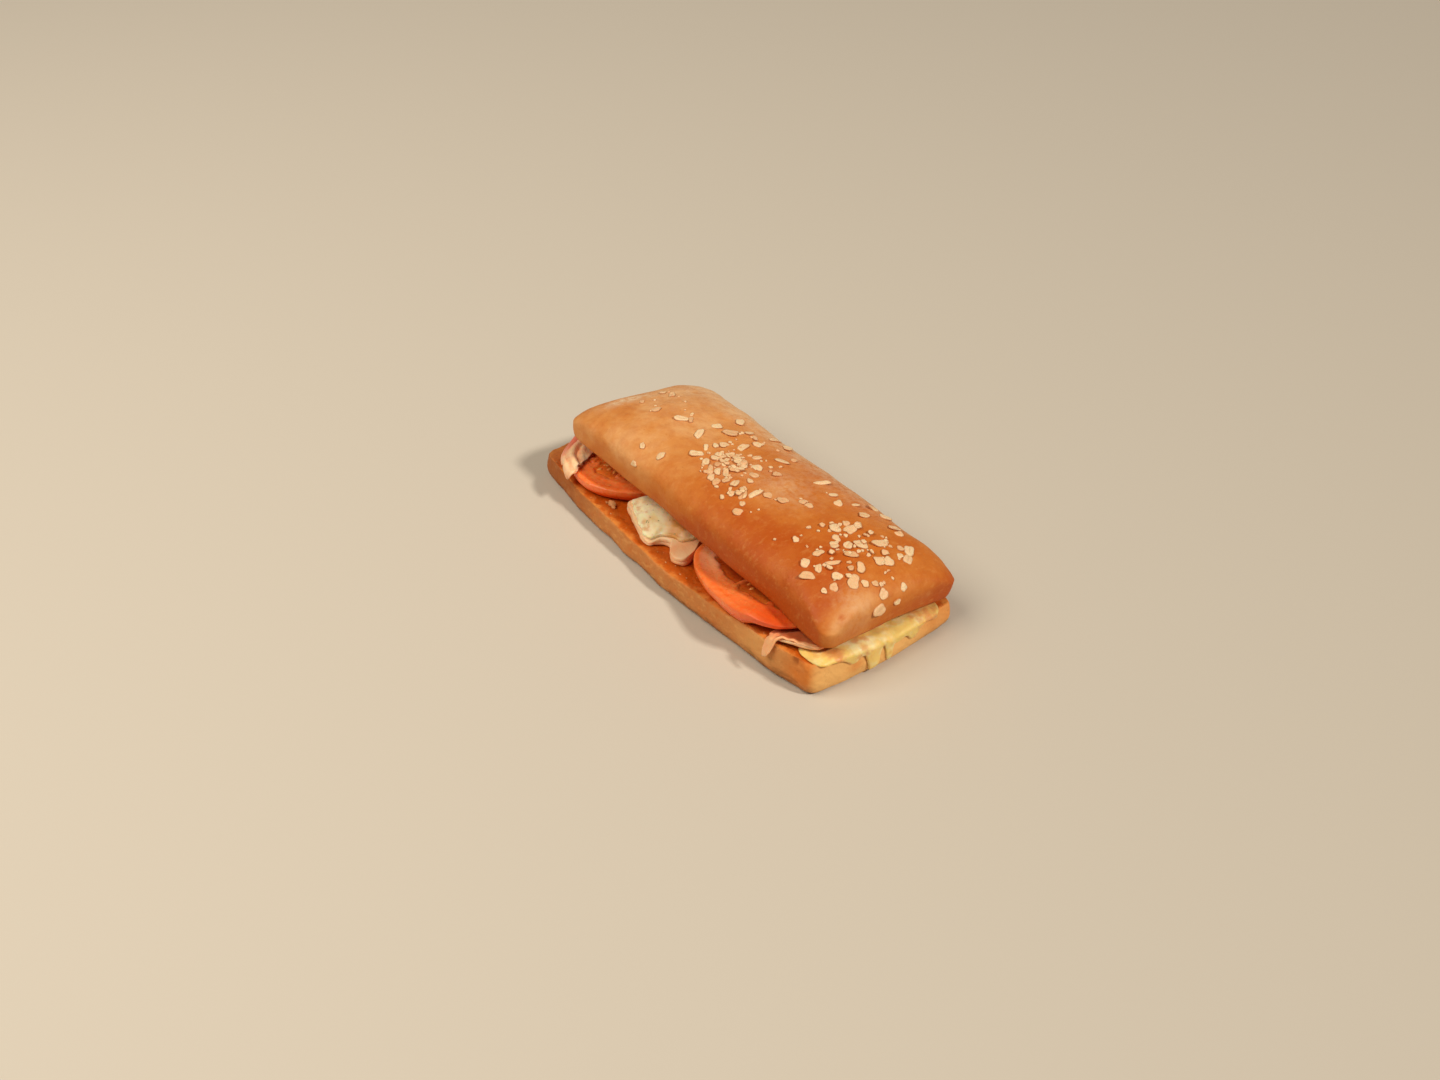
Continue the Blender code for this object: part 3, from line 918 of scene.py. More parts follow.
@dataclass(frozen=True)
class CheeseFinish:
    """Soft melted cheese, cream to yellow."""

    cream: Colour = srgb(254, 238, 190)
    yellow: Colour = srgb(250, 200, 106)
    toasted: Colour = srgb(226, 152, 80)
    # painted shade: khaki where the crown shades the soft cheese
    mustard: Colour = srgb(214, 142, 54)
    blush: Triple = (1.0, 0.6, 0.25)

    def material(self) -> Material:
        """Make it from the masks yellow, toasted and mustard.

        Returns:
            The material.
        """
        look = Recipe("melted_cheese")
        clouds = look.band(look.noise(5.0, 4.0), 0.3, 0.7, -0.3, 0.3)
        rich = look.sum(Sum.PLUS, look.mask("yellow"), clouds)
        colour = look.blend(self.cream, self.yellow, look.band(rich, 0.0, 1.0))
        spots = look.band(look.noise(3.2, 4.0), 0.3, 0.7, -0.3, 0.3)
        browned = look.sum(Sum.PLUS, look.mask("toasted"), spots)
        colour = look.blend(colour, self.toasted, look.band(browned, 0.2, 1.0))
        # painted shade under the crown
        colour = look.blend(colour, self.mustard, look.mask("mustard"))
        relief = look.bump(look.noise(3.2, 3.0), 0.35)
        relief = look.bump(look.noise(0.9, 3.0), 0.05, relief)
        shine = look.band(look.noise(3.0, 3.0), 0.3, 0.7, 0.38, 0.56)
        look.shader.inputs["Subsurface Radius"].default_value = self.blush
        return look.made(colour, shine, relief, Subsurface_Weight=0.4, Subsurface_Scale=0.003)


@dataclass(frozen=True)
class TomatoFinish:
    """Wet tomato: glossy skin, pale red flesh, gel in the seed chambers, and painted shade on the gel and
    at one tip.
    """

    flesh: Colour = srgb(254, 118, 44)
    light: Colour = srgb(254, 138, 70)
    skin: Colour = srgb(240, 92, 20)
    # painted shade: darker red flesh at the tip of the +X slice
    ripe: Colour = srgb(212, 74, 16)
    gel: Colour = srgb(254, 134, 44)
    # deep: painted shade on the gel where the crown shades it
    deep: Colour = srgb(158, 36, 2)
    # the slice's paler core, also used as painted light where the crown shades the +X slice
    core: Colour = srgb(254, 186, 134)
    blush: Triple = (1.0, 0.3, 0.12)

    def material(self) -> Material:
        """Make it from the masks skin, ripe, gel, deep, vein and core.

        Returns:
            The material.
        """
        look = Recipe("tomato_slice")
        grain = look.band(look.noise(2.4, 5.0, 0.6), 0.35, 0.68)
        colour = look.blend(self.flesh, self.light, grain)
        colour = look.blend(colour, self.core, look.mask("core"), 0.9)
        colour = look.blend(colour, self.light, look.mask("vein"), 0.45)
        colour = look.blend(colour, self.ripe, look.mask("ripe"))
        # painted shade: the gel turns deep red where the crown shades it
        pulp = look.blend(self.gel, self.deep, look.mask("deep"))
        colour = look.blend(colour, pulp, look.mask("gel"))
        colour = look.blend(colour, self.skin, look.mask("skin"))
        relief = look.bump(look.noise(1.3, 4.0, 0.6), 0.12)
        wet = look.band(look.noise(3.0, 3.0), 0.3, 0.7, 0.22, 0.42)
        look.shader.inputs["Subsurface Radius"].default_value = self.blush
        return look.made(colour, wet, relief, Subsurface_Weight=0.4, Subsurface_Scale=0.003)


@dataclass(frozen=True)
class TintedFinish:
    """Small scattered things whose tint differs from one to the next."""

    name: str
    first: Colour
    second: Colour
    edge: Colour
    roughness: float = 0.6
    grain: float = 0.7

    def material(self) -> Material:
        """Make it from the masks tint and edge.

        Returns:
            The material.
        """
        look = Recipe(self.name)
        colour = look.blend(self.first, self.second, look.mask("tint"))
        fine = look.band(look.noise(self.grain, 4.0, 0.6), 0.3, 0.7)
        colour = look.blend(colour, self.edge, fine, 0.3)
        # painted shade: the edge mask darkens the oat flakes' rim undersides and creases
        colour = look.blend(colour, self.edge, look.mask("edge"))
        relief = look.bump(look.noise(self.grain, 3.0), 0.08)
        dull = look.band(fine, 0.0, 1.0, self.roughness - 0.08, self.roughness + 0.08)
        return look.made(colour, dull, relief, Subsurface_Weight=0.1, Subsurface_Scale=0.001)


OAT = TintedFinish("oat_flake", srgb(244, 209, 158), srgb(230, 172, 116), srgb(190, 130, 80), 0.62)
SEED = TintedFinish("tomato_seed", srgb(244, 168, 84), srgb(236, 140, 58), srgb(222, 112, 44), 0.3)
HERB = TintedFinish(
    "dried_herb", srgb(176, 160, 104), srgb(190, 168, 112), srgb(140, 118, 66), 0.7, 0.3
)
CRUMB = TintedFinish(
    "bread_crumb", srgb(228, 166, 104), srgb(196, 118, 58), srgb(170, 96, 44), 0.75
)


# ------------ the roll


@dataclass(frozen=True)
class RollForm:
    """Sizes of the roll's two halves in mm, and where their cut faces lie."""

    bottom_shift: float = -1.0
    bottom_half_x: float = 97.5
    bottom_half_y: float = 39.0
    front_belly: float = 7.0
    back_belly: float = 2.5
    end_belly: float = 3.0
    cut: float = 11.5
    near_rise: float = 5.0
    dent: float = 1.8
    ripple: float = 0.25
    bottom_waves: Rows = ((0.3, 11.0, 1.0), (0.2, 5.3, 0.0))
    top_centre: Triple = (5.6, 3.0, 20.3)
    tilt: float = math.radians(8.0)
    pitch: float = math.radians(0.8)
    top_half_x: float = 91.9
    top_half_y: float = 36.5
    widest: float = 8.0
    crown: float = 22.0
    far_drop: float = 3.6
    near_drop: float = 1.0
    crown_waves: Rows = ((0.5, 17.0, 0.0),)
    recess_depth: float = 1.6
    droop_depth: float = 3.2

    def cut_height(self, x: Number, y: Number) -> Number:
        """Height of the bottom half's cut face.

        Args:
            x, y: places in mm.

        Returns:
            The height in mm at each place.
        """
        across = y / self.bottom_half_y
        rise = self.near_rise * ramp(10.0, 96.0, x) * np.maximum(0.0, 0.5 - 0.5 * across)
        along = np.maximum(0.0, 1.0 - np.abs((x - self.bottom_shift) / self.bottom_half_x) ** 8)
        dent = self.dent * along * np.maximum(0.0, 1.0 - np.abs(across) ** 4)
        return self.cut + rise - dent + self.ripple * np.sin(x / 9.0) * np.cos(y / 7.0)

    def recess(self, x: Number, y: Number) -> Number:
        """How far the top half's crumb is pressed up, at its own x and y."""
        along = np.maximum(0.0, 1.0 - np.abs(x / self.top_half_x) ** 8)
        return self.recess_depth * along * np.maximum(0.0, 1.0 - np.abs(y / self.top_half_y) ** 4)

    def droop(self, x: Number, y: Number) -> Number:
        """How far the top half's front +X corner sags, at its own x and y."""
        return self.droop_depth * ramp(35.0, 92.0, x) * ramp(5.0, -36.0, y)

    def roof_height(self, x: Number, y: Number) -> Number:
        """Height of the top half's cut face over the filling.

        Args:
            x, y: places in mm.

        Returns:
            The height in mm at each place.
        """
        own_x, own_y = x - self.top_centre[0], y - self.top_centre[1]
        plane = self.top_centre[2] - own_y * math.tan(self.tilt) - own_x * math.tan(self.pitch)
        return plane + self.recess(own_x, own_y) - self.droop(own_x, own_y)

    def crown_height(self, x: Number) -> Number:
        """Height of the crown above the top half's cut face, lower towards its ends."""
        drops = self.far_drop * ramp(45.0, 92.0, -x) + self.near_drop * ramp(60.0, 92.0, x)
        return self.crown - drops + waves(x, self.crown_waves)

    def bowed(self, flat: Array) -> Array:
        """Bow the sides and ends of the bottom half's outline outwards.

        Args:
            flat: the straight outline, one (x, y) row for each point.

        Returns:
            The bowed outline.
        """
        x, y = flat.T
        belly = np.where(y < 0.0, self.front_belly, self.back_belly)
        along, across = x / self.bottom_half_x, y / self.bottom_half_y
        new_x = x * (1.0 + self.end_belly / self.bottom_half_x * (1.0 - across**2))
        new_x = new_x + self.bottom_shift
        new_y = y * (1.0 + belly / self.bottom_half_y * (1.0 - along**2))
        return np.stack((new_x, new_y + waves(new_x, self.bottom_waves) * across), axis=1)

    def end_edge(self, y: float, inset: float) -> float:
        """X of the bottom half's +X end at a given Y."""
        bow = self.end_belly / self.bottom_half_x * (1.0 - (y / self.bottom_half_y) ** 2)
        return self.bottom_shift + (self.bottom_half_x - inset) * (1.0 + bow)

    def front_edge(self, x: Number) -> Number:
        """Y of the bottom half's open side at a given X."""
        bow = self.front_belly * (1.0 - ((x - self.bottom_shift) / self.bottom_half_x) ** 2)
        return -(self.bottom_half_y + bow)

    def set_down(self, points: Array) -> Array:
        """Turn points of the top half's own frame into the sandwich's frame."""
        turn = np.array(Euler((-self.tilt, self.pitch, 0.0)).to_matrix())
        return points @ turn.T + np.array(self.top_centre)


FORM = RollForm()


@dataclass(frozen=True)
class AirHoles:
    """Round holes of an open crumb.

    Fields: how many, the seed of their places, the (low x, high x, low y, high y) that they lie
    in, and their smallest and largest radius in mm.
    """

    count: int
    seed: int
    area: tuple[float, float, float, float]
    radii: Pair

    def depth(self, points: Array) -> Array:
        """Depth of the holes.

        Args:
            points: places in mm.

        Returns:
            The depth at each place, in mm.
        """
        rng = np.random.default_rng(self.seed)
        depth = np.zeros(len(points))
        for _ in range(self.count):
            x = rng.uniform(*self.area[:2])
            y = rng.uniform(*self.area[2:])
            radius = mix(*self.radii, rng.random() ** 2.5)
            squash = rng.uniform(0.6, 1.5)
            away = np.hypot((points[:, 0] - x) / squash, (points[:, 1] - y) * squash) / radius
            near = away < 1.6
            depth[near] = np.maximum(depth[near], 0.75 * radius * np.exp(-(away[near] ** 4)))
        return depth


@dataclass
class BottomHalf:
    """The bottom half: flat base, upright crust and a dented, soaked cut face."""

    form: RollForm = FORM
    corner: float = 3.4
    crust: Rows = (
        (3.2, 0.0), (1.4, 0.05), (0.4, 0.18), (0.0, 0.38), (0.3, 0.65), (0.8, 0.9), (1.3, 1.0),
    )
    steps: Steps = Steps(26, 6, 70)
    side_relief: Relief = ((0.45, Bumps(11.0, 3, 2)), (0.24, Bumps(3.4, 4, 2)))
    rim_relief: Relief = ((0.42, Bumps(2.6, 5, 2)),)
    holes: AirHoles = AirHoles(460, 6, (-101.0, 100.0, -46.0, 42.0), (0.5, 1.9))
    pit: Pair = (88.0, -39.6)
    pit_radii: Pair = (1.3, 0.9)
    pit_depth: float = 1.5

    def profile(self) -> Array:
        """(inset, share of the height) from the base's ridge to the cut face's.

        Returns:
            One row for each ring.
        """
        innermost = self.form.bottom_half_y - 0.4
        base = [(inset, 0.0) for inset in np.linspace(innermost, 4.2, 8)]
        evenly = np.array((1.0, 8.0))  # makes the steps up the crust about even
        side = through(self.crust * evenly, 26) / evenly
        top = [(inset, 1.0) for inset in np.linspace(1.9, innermost, 44)]
        return np.concatenate((base, side, top))

    def shape(self) -> tuple[Shape, Array, Array]:
        """Make the smooth half.

        Returns:
            The shape, and the inset and the share of the height of each vertex.
        """
        form = self.form
        rings, profile = [], self.profile()
        for inset, share in profile:
            half_x, half_y = form.bottom_half_x - inset, form.bottom_half_y - inset
            flat = form.bowed(rounded_rectangle(half_x, half_y, self.corner, self.steps))
            rings.append(np.column_stack((flat, share * form.cut_height(*flat.T))))
        inset, share = np.repeat(profile, len(rings[0]), axis=0).T
        return ridge_shape("bottom_roll_bread", rings), inset, share

    def build(self) -> None:
        """Make and dress the piece."""
        shape, inset, share = self.shape()
        points = shape.points
        x, y, z = points.T
        cut = ramp(0.5, 1.6, inset) * ramp(0.9, 1.0, share)
        side = ramp(0.0, 0.12, share) * (1.0 - cut)
        broken = ramp(0.8, 1.0, share) * (1.0 - ramp(2.0, 7.0, inset))
        amount = side * lumpy(points, self.side_relief) + broken * lumpy(points, self.rim_relief)
        airy = 0.55 * self.holes.depth(points) + 0.25 * (1.0 + Bumps(5.0, 7, 2).at(points))
        pit = hump(x, y, self.pit, self.pit_radii) * ramp(0.7, 0.9, share)
        shape.swell(amount - cut * airy - self.pit_depth * pit)
        risen = ramp(0.1, 0.5, share)
        # painted light: the +X end face and the side near x = 68 are paler, less so where browned is high
        browned = 0.6 * hump(y, z, (-17.0, 8.0), (3.5, 3.0)) + 0.5 * ramp(14.0, 26.0, y)
        pale = ramp(94.0, 97.5, x) * (0.9 - browned) + 0.45 * ridge(x, 68.0, 14.0) * risen
        near = ramp(78.0, 90.0, x) * (0.75 + 0.35 * Bumps(6.0, 8, 2).at(points))
        # painted shade towards the far end of the side, and in the pit
        far = ramp(-35.0, -80.0, x) * (0.66 + 0.34 * Bumps(6.5, 9, 3).at(points))
        # soaked crumb and painted shade under the fillings, more away from the rim
        wet = 0.25 + 0.6 * ramp(1.0, 5.0, inset) + 0.1 * ramp(-60.0, -90.0, x)
        shape.masks(
            crumb=cut,
            rise=share,
            pale=pale * (1.0 - cut),
            orange=np.clip(near, 0.0, 1.0) * risen,
            far=np.clip(np.maximum(far, pit), 0.0, 1.0),
            soak=np.clip(wet, 0.0, 1.0),
            dry=ramp(-84.0, -94.0, x),
        )
        shape.piece(BreadFinish().material(), Slot.BREAD, "bottom_roll")


@dataclass
class TopHalf:
    """The top half: pressed cut face, steep sides and a soft, lightly wrinkled crown."""

    form: RollForm = FORM
    rim_corner: float = 6.0
    crown_corner: float = 30.0
    side_power: float = 2.35
    turn_in: float = 2.0
    lip: Rows = ((2.0, 0.0), (1.0, 1.2), (0.2, 4.5), (0.0, 8.0))
    side_waves: Rows = ((0.5, 14.0, 0.0), (0.3, 6.1, 2.0))
    steps: Steps = Steps(28, 16, 64)
    crown_rings: int = 78
    relief: Relief = ((0.75, Bumps(34.0, 11, 2)), (0.32, Bumps(12.0, 12, 2)))
    creases: Bumps = Bumps(3.8, 13, 2)
    crease_depth: float = 0.22
    crease_run: Triple = (1.0, 0.28, 0.5)
    holes: AirHoles = AirHoles(700, 15, (-92.0, 92.0, -37.0, 37.0), (0.5, 2.2))
    pit: Pair = (89.1, -27.3)
    pit_radii: Pair = (0.9, 0.9)
    pit_depth: float = 0.3
    # Humps of browning; the negative ones are painted highlights on the nose, top and back, and the
    # far-left one is painted shade.
    browner: Rows = (
        (91.5, -32.0, 5.0, 8.0, -0.82), (89.0, -18.0, 6.0, 9.0, -0.58),
        (66.0, -14.0, 12.0, 10.0, 0.34), (91.0, 27.0, 6.0, 9.0, 0.25),
        (24.0, -6.0, 18.0, 12.0, -0.20), (-4.0, 22.0, 40.0, 8.0, -0.10),
        (40.0, -20.0, 16.0, 8.0, 0.12), (-82.0, -22.0, 16.0, 14.0, 0.25),
        (88.0, 8.0, 8.0, 16.0, -0.18),
    )
    # Flour, and painted highlights on the nose, the top and the back edge.
    floury: Rows = (
        (-78.0, 10.0, 9.0, 20.0, 0.30), (-82.5, -11.5, 3.4, 10.5, 1.3),
        (-7.0, -11.0, 10.0, 10.0, 0.25), (18.0, 0.0, 16.0, 13.0, 0.36),
        (86.0, -20.0, 7.0, 8.0, 0.28), (-10.0, 30.0, 26.0, 8.0, 0.30),
        (-60.0, 2.0, 14.0, 14.0, 0.18),
    )

    def ring(
        self, inset: float, corner: float, lift: float, share: float = 0.0, pressed: float = 0.0
    ) -> Array:
        """One ring in the half's own frame.

        Args:
            inset: from the widest outline in mm.
            corner: corner radius in mm.
            lift: height above the cut face's rim in mm.
            share: share of the way up from there to the crown.
            pressed: 1 on the pressed crumb of the cut face.

        Returns:
            The points.
        """
        form = self.form
        half_x, half_y = form.top_half_x - inset, form.top_half_y - inset
        x, y = rounded_rectangle(half_x, half_y, corner, self.steps).T
        low = lift + pressed * form.recess(x, y) - form.droop(x, y)
        height = mix(low, form.crown_height(x), share)
        return np.column_stack((x, y * (1.0 + waves(x, self.side_waves) / form.top_half_y), height))

    def rings(self) -> list[tuple[Array, float, float]]:
        """All rings from the cut face's ridge to the crown's.

        Returns:
            Each ring, with 1 where it is cut crumb, and its share of the way up, which is -1 at
            the cut face, 0 at the widest line and 1 at the crown.
        """
        form, made = self.form, []
        for inset in np.linspace(form.top_half_y - 0.4, self.turn_in + 0.6, 30):
            made.append((self.ring(inset, self.rim_corner, 0.0, pressed=1.0), 1.0, -1.0))
        for inset, lift in through(self.lip, 12):
            made.append((self.ring(inset, self.rim_corner, lift), 0.0, lift / form.widest - 1.0))
        exponent = 2.0 / self.side_power
        for angle in np.linspace(0.0, 0.4985 * math.pi, self.crown_rings)[1:]:
            share = math.sin(angle) ** exponent
            inset = form.top_half_y * (1.0 - math.cos(angle) ** exponent)
            corner = mix(self.rim_corner, self.crown_corner, share)
            made.append((self.ring(inset, corner, form.widest, share), 0.0, share))
        return made

    def build(self) -> BVHTree:
        """Make and dress the piece.

        Returns:
            A search tree of its surface in mm.
        """
        rings, crumb, level = zip(*self.rings())
        own, size = np.concatenate(rings), len(rings[0])
        crumb, level = np.repeat(crumb, size), np.repeat(level, size)
        shape = ridge_shape("top_roll_bread", [self.form.set_down(ring) for ring in rings])
        skin = ramp(-0.9, -0.3, level)
        x, y = own[:, 0], own[:, 1]
        creased = np.clip(0.30 + ramp(10.0, -70.0, x) + ramp(60.0, 88.0, x), 0.0, 1.0)
        streaks = self.crease_depth * creased * self.creases.at(own * self.crease_run)
        airy = 0.7 * self.holes.depth(own) + 0.2 * (1.0 + Bumps(4.0, 16, 2).at(own))
        pit = hump(x, y, self.pit, self.pit_radii) * skin
        amount = skin * (lumpy(own, self.relief) + streaks) - crumb * airy
        shape.swell(amount - self.pit_depth * pit)
        bake = 0.12 + 0.50 * ramp(-52.0, 20.0, x) + 0.07 * Bumps(26.0, 17, 2).at(own)
        # painted shade: darker along the open side and the lower sides; painted highlight: paler along the
        # back edge
        bake += 0.30 * ramp(-10.0, -30.0, y) * ramp(-60.0, 50.0, x)
        bake += 0.30 * (1.0 - ramp(-0.6, 0.5, level)) * ramp(-110.0, -50.0, x)
        bake -= 0.25 * ramp(22.0, 34.0, y) * ramp(0.2, 0.6, level)
        # painted shade: the pit is darkened
        bake += hills(x, y, self.browner) + 0.7 * pit
        flour = hills(x, y, self.floury)
        # painted highlight along the back edge
        flour += 0.45 * ramp(8.0, 32.0, y) * ramp(70.0, 35.0, x)
        shape.masks(bake=bake, flour=np.clip(flour, 0.0, 1.0) * skin, crumb=crumb)
        tree = shape.tree()
        shape.piece(CrustFinish().material(), Slot.CRUST, "top_roll")
        return tree


# ------------ tomato


@dataclass
class TomatoSlice:
    """A thick slice with skin, flesh ring, seed chambers and core.

    Fields: the piece's name and the solid node that it stands for, its place and radii in mm,
    its underside and upper side, its number of chambers, a seed, and how far out the chambers
    reach as a share of the radius.  Bulges of the outline are rows of (direction, width, share
    of the radius); places with painted shade on the gel, painted light on the flesh and painted
    shade at the tip are humps.
    """

    name: str
    node: str
    centre: Pair
    radii: Pair
    floor: HeightMap
    ceiling: HeightMap
    chambers: int
    seed: int
    reach: float
    dark: Rows
    bulges: Rows = ()
    blanched: Rows = ()
    ripe: Rows = ()
    points_round: int = 280

    def chamber(self, share: Array, angle: Array) -> Array:
        """Where the seed chambers are.

        Args:
            share: distance from the slice's centre as a share of its radius.
            angle: direction from there.

        Returns:
            1 inside a seed chamber and 0 in the flesh.
        """
        uneven = Bumps(0.15, self.seed, 2).across(share * np.cos(angle), share * np.sin(angle))
        turn = angle * self.chambers / TURN + 0.35 * uneven
        wall = np.abs(turn - np.round(turn)) * TURN / self.chambers * share
        outer = self.reach + 0.085 * uneven
        inside = ramp(outer, outer - 0.04, share) * ramp(0.22, 0.29, share)
        return inside * ramp(0.025, 0.06, wall)

    def edge(self) -> Array:
        """Its outline seen from above.

        Returns:
            One (x, y) row for each point.
        """
        angle = np.linspace(0.0, TURN, self.points_round, endpoint=False)
        lobed = 1.0 + 0.012 * np.cos(5.0 * angle)
        for heading, width, amount in self.bulges:
            away = np.angle(np.exp(1j * (angle - heading)))
            lobed = lobed + amount * ridge(away, 0.0, width)
        return np.column_stack((np.cos(angle), np.sin(angle))) * lobed[:, None] * self.radii + self.centre

    def levels(self) -> Rows:
        """The rings from the underside's middle, round the skin, to the upper side's middle.

        Returns:
            (share of the radius, share of the thickness, skin, upper side) of each ring.
        """
        rows = [(share, 0.0, 0.0, 0.0) for share in np.linspace(0.1, 0.91, 10)]
        for turn in np.linspace(-0.5 * math.pi, 0.5 * math.pi, 27)[1:-1]:
            level = 0.5 + 0.5 * math.sin(turn)
            reach = 0.90 + (0.10 if turn > 0.0 else 0.07) * math.cos(turn) ** 0.8
            reach += 0.03 * ramp(0.0, 0.5, level)
            rows.append((min(reach, 1.0), level, 1.0 - ramp(0.40, 0.75, level), 0.0))
        return rows + [(share, 1.0, 0.0, 1.0) for share in np.linspace(0.925, 0.03, 74)]

    def build(self) -> BVHTree:
        """Make and dress the slice.

        Returns:
            A search tree of its surface in mm.
        """
        edge, rows = self.edge(), self.levels()
        rings = [
            between(shrunk(edge, self.centre, share), self.floor, self.ceiling, level)
            for share, level, _, _ in rows
        ]
        shape = slab_shape(self.name, rings, self.centre, self.floor, self.ceiling)
        rows = np.concatenate((np.repeat(rows, self.points_round, axis=0), np.zeros((1, 4)), rows[-1:]))
        share, _, skin, upper = rows.T
        points = shape.points
        x, y = points[:, 0], points[:, 1]
        away_x, away_y = (points[:, :2] - self.centre).T
        angle = np.arctan2(away_y / self.radii[1], away_x / self.radii[0])
        gel = self.chamber(share, angle) * upper
        relief = upper * 0.20 * Bumps(3.0, self.seed + 1, 2).at(points)
        relief += upper * 0.25 * ridge(share, self.reach + 0.04, 0.04)
        relief -= gel * (0.85 + 0.30 * Bumps(3.0, self.seed + 2).at(points))
        relief += skin * 0.12 * Bumps(8.0, self.seed + 3).at(points)
        shape.swell(relief)
        rim = 0.55 * ramp(0.84, 0.97, share) * upper * (1.0 - gel)
        # the pale core, plus painted light on the +X slice near the crown
        core = ramp(0.32, 0.18, share) + hills(x, y, self.blanched)
        shape.masks(
            gel=gel,
            # deep: painted shade on the gel near the crown, from the dark humps
            deep=np.clip(hills(x, y, self.dark), 0.0, 1.0),
            # painted shade at the tip of the +X slice
            ripe=np.clip(hills(x, y, self.ripe), 0.0, 0.9),
            skin=np.clip(skin + rim, 0.0, 0.95),
            vein=ridge(share, 0.86 + 0.012 * np.sin(9.0 * angle), 0.02) * upper,
            core=np.clip(core, 0.0, 1.0) * upper,
        )
        tree = shape.tree()
        shape.piece(TomatoFinish().material(), Slot.TOMATO, self.node)
        return tree


# ------------ fillings


@dataclass(frozen=True)
class Layers:
    """Thicknesses of the fillings in mm, and the heights at which they lie."""

    form: RollForm = FORM
    tomato: float = 6.2
    fold: float = 4.5
    thin: float = 1.6
    ruffle: float = 1.7
    cheese: float = 2.0
    slant: float = 3.4
    left_centre: Pair = (-64.0, -11.0)
    left_radii: Pair = (28.0, 30.0)
    right_centre: Pair = (45.0, -8.0)
    right_radii: Pair = (38.5, 36.5)

    def floor(self, x: Number, y: Number) -> Number:
        """Underside of what lies straight on the bread."""
        return self.form.cut_height(x, y) + GAP

    def climb(self, x: Number) -> Number:
        """How far a slice climbs onto the end slice of cheese."""
        return (self.cheese + 2.0 * GAP) * ramp(72.0, 80.0, x)

    def thin_floor(self, x: Number, y: Number) -> Number:
        """Underside of the thin turkey slice, which climbs onto the end slice of cheese."""
        return self.floor(x, y) + self.climb(x)

    def left_top(self, x: Number, y: Number) -> Number:
        """Upper side of the -X tomato slice."""
        room = self.form.roof_height(x, y) - self.ruffle - 3.0 * GAP
        return np.minimum(self.floor(x, y) + self.tomato, room)

    def right_floor(self, x: Number, y: Number) -> Number:
        """Underside of the +X tomato slice, which lies on the thin turkey at its +X side."""
        lift = (self.thin + 3.0 * GAP) * ramp(57.0, 65.5, x)
        return self.floor(x, y) + lift + self.climb(x)

    def right_top(self, x: Number, y: Number) -> Number:
        """Upper side of the +X tomato slice, which slants up evenly over the thin turkey."""
        free = self.floor(x, y) + self.tomato + self.slant * ramp(22.0, 84.0, x)
        return np.minimum(free, self.form.roof_height(x, y) - 2.0 * GAP)

    def fold_top(self, x: Number, y: Number) -> Number:
        """Upper side of the folded turkey slice, lower towards its lobe's tip."""
        tip = 1.4 * hump(x, y, (-8.0, -41.0), (9.0, 7.0)) + 1.6 * ramp(-33.0, -42.0, y)
        return np.minimum(
            self.floor(x, y) + self.fold - tip, self.form.roof_height(x, y) - self.cheese - 4.0 * GAP
        )

    def rim_share(self, x: Number, y: Number) -> Number:
        """0 at the -X tomato slice's centre and 1 at its skin."""
        along = (x - self.left_centre[0]) / self.left_radii[0]
        return np.hypot(along, (y - self.left_centre[1]) / self.left_radii[1])


LAYERS = Layers()


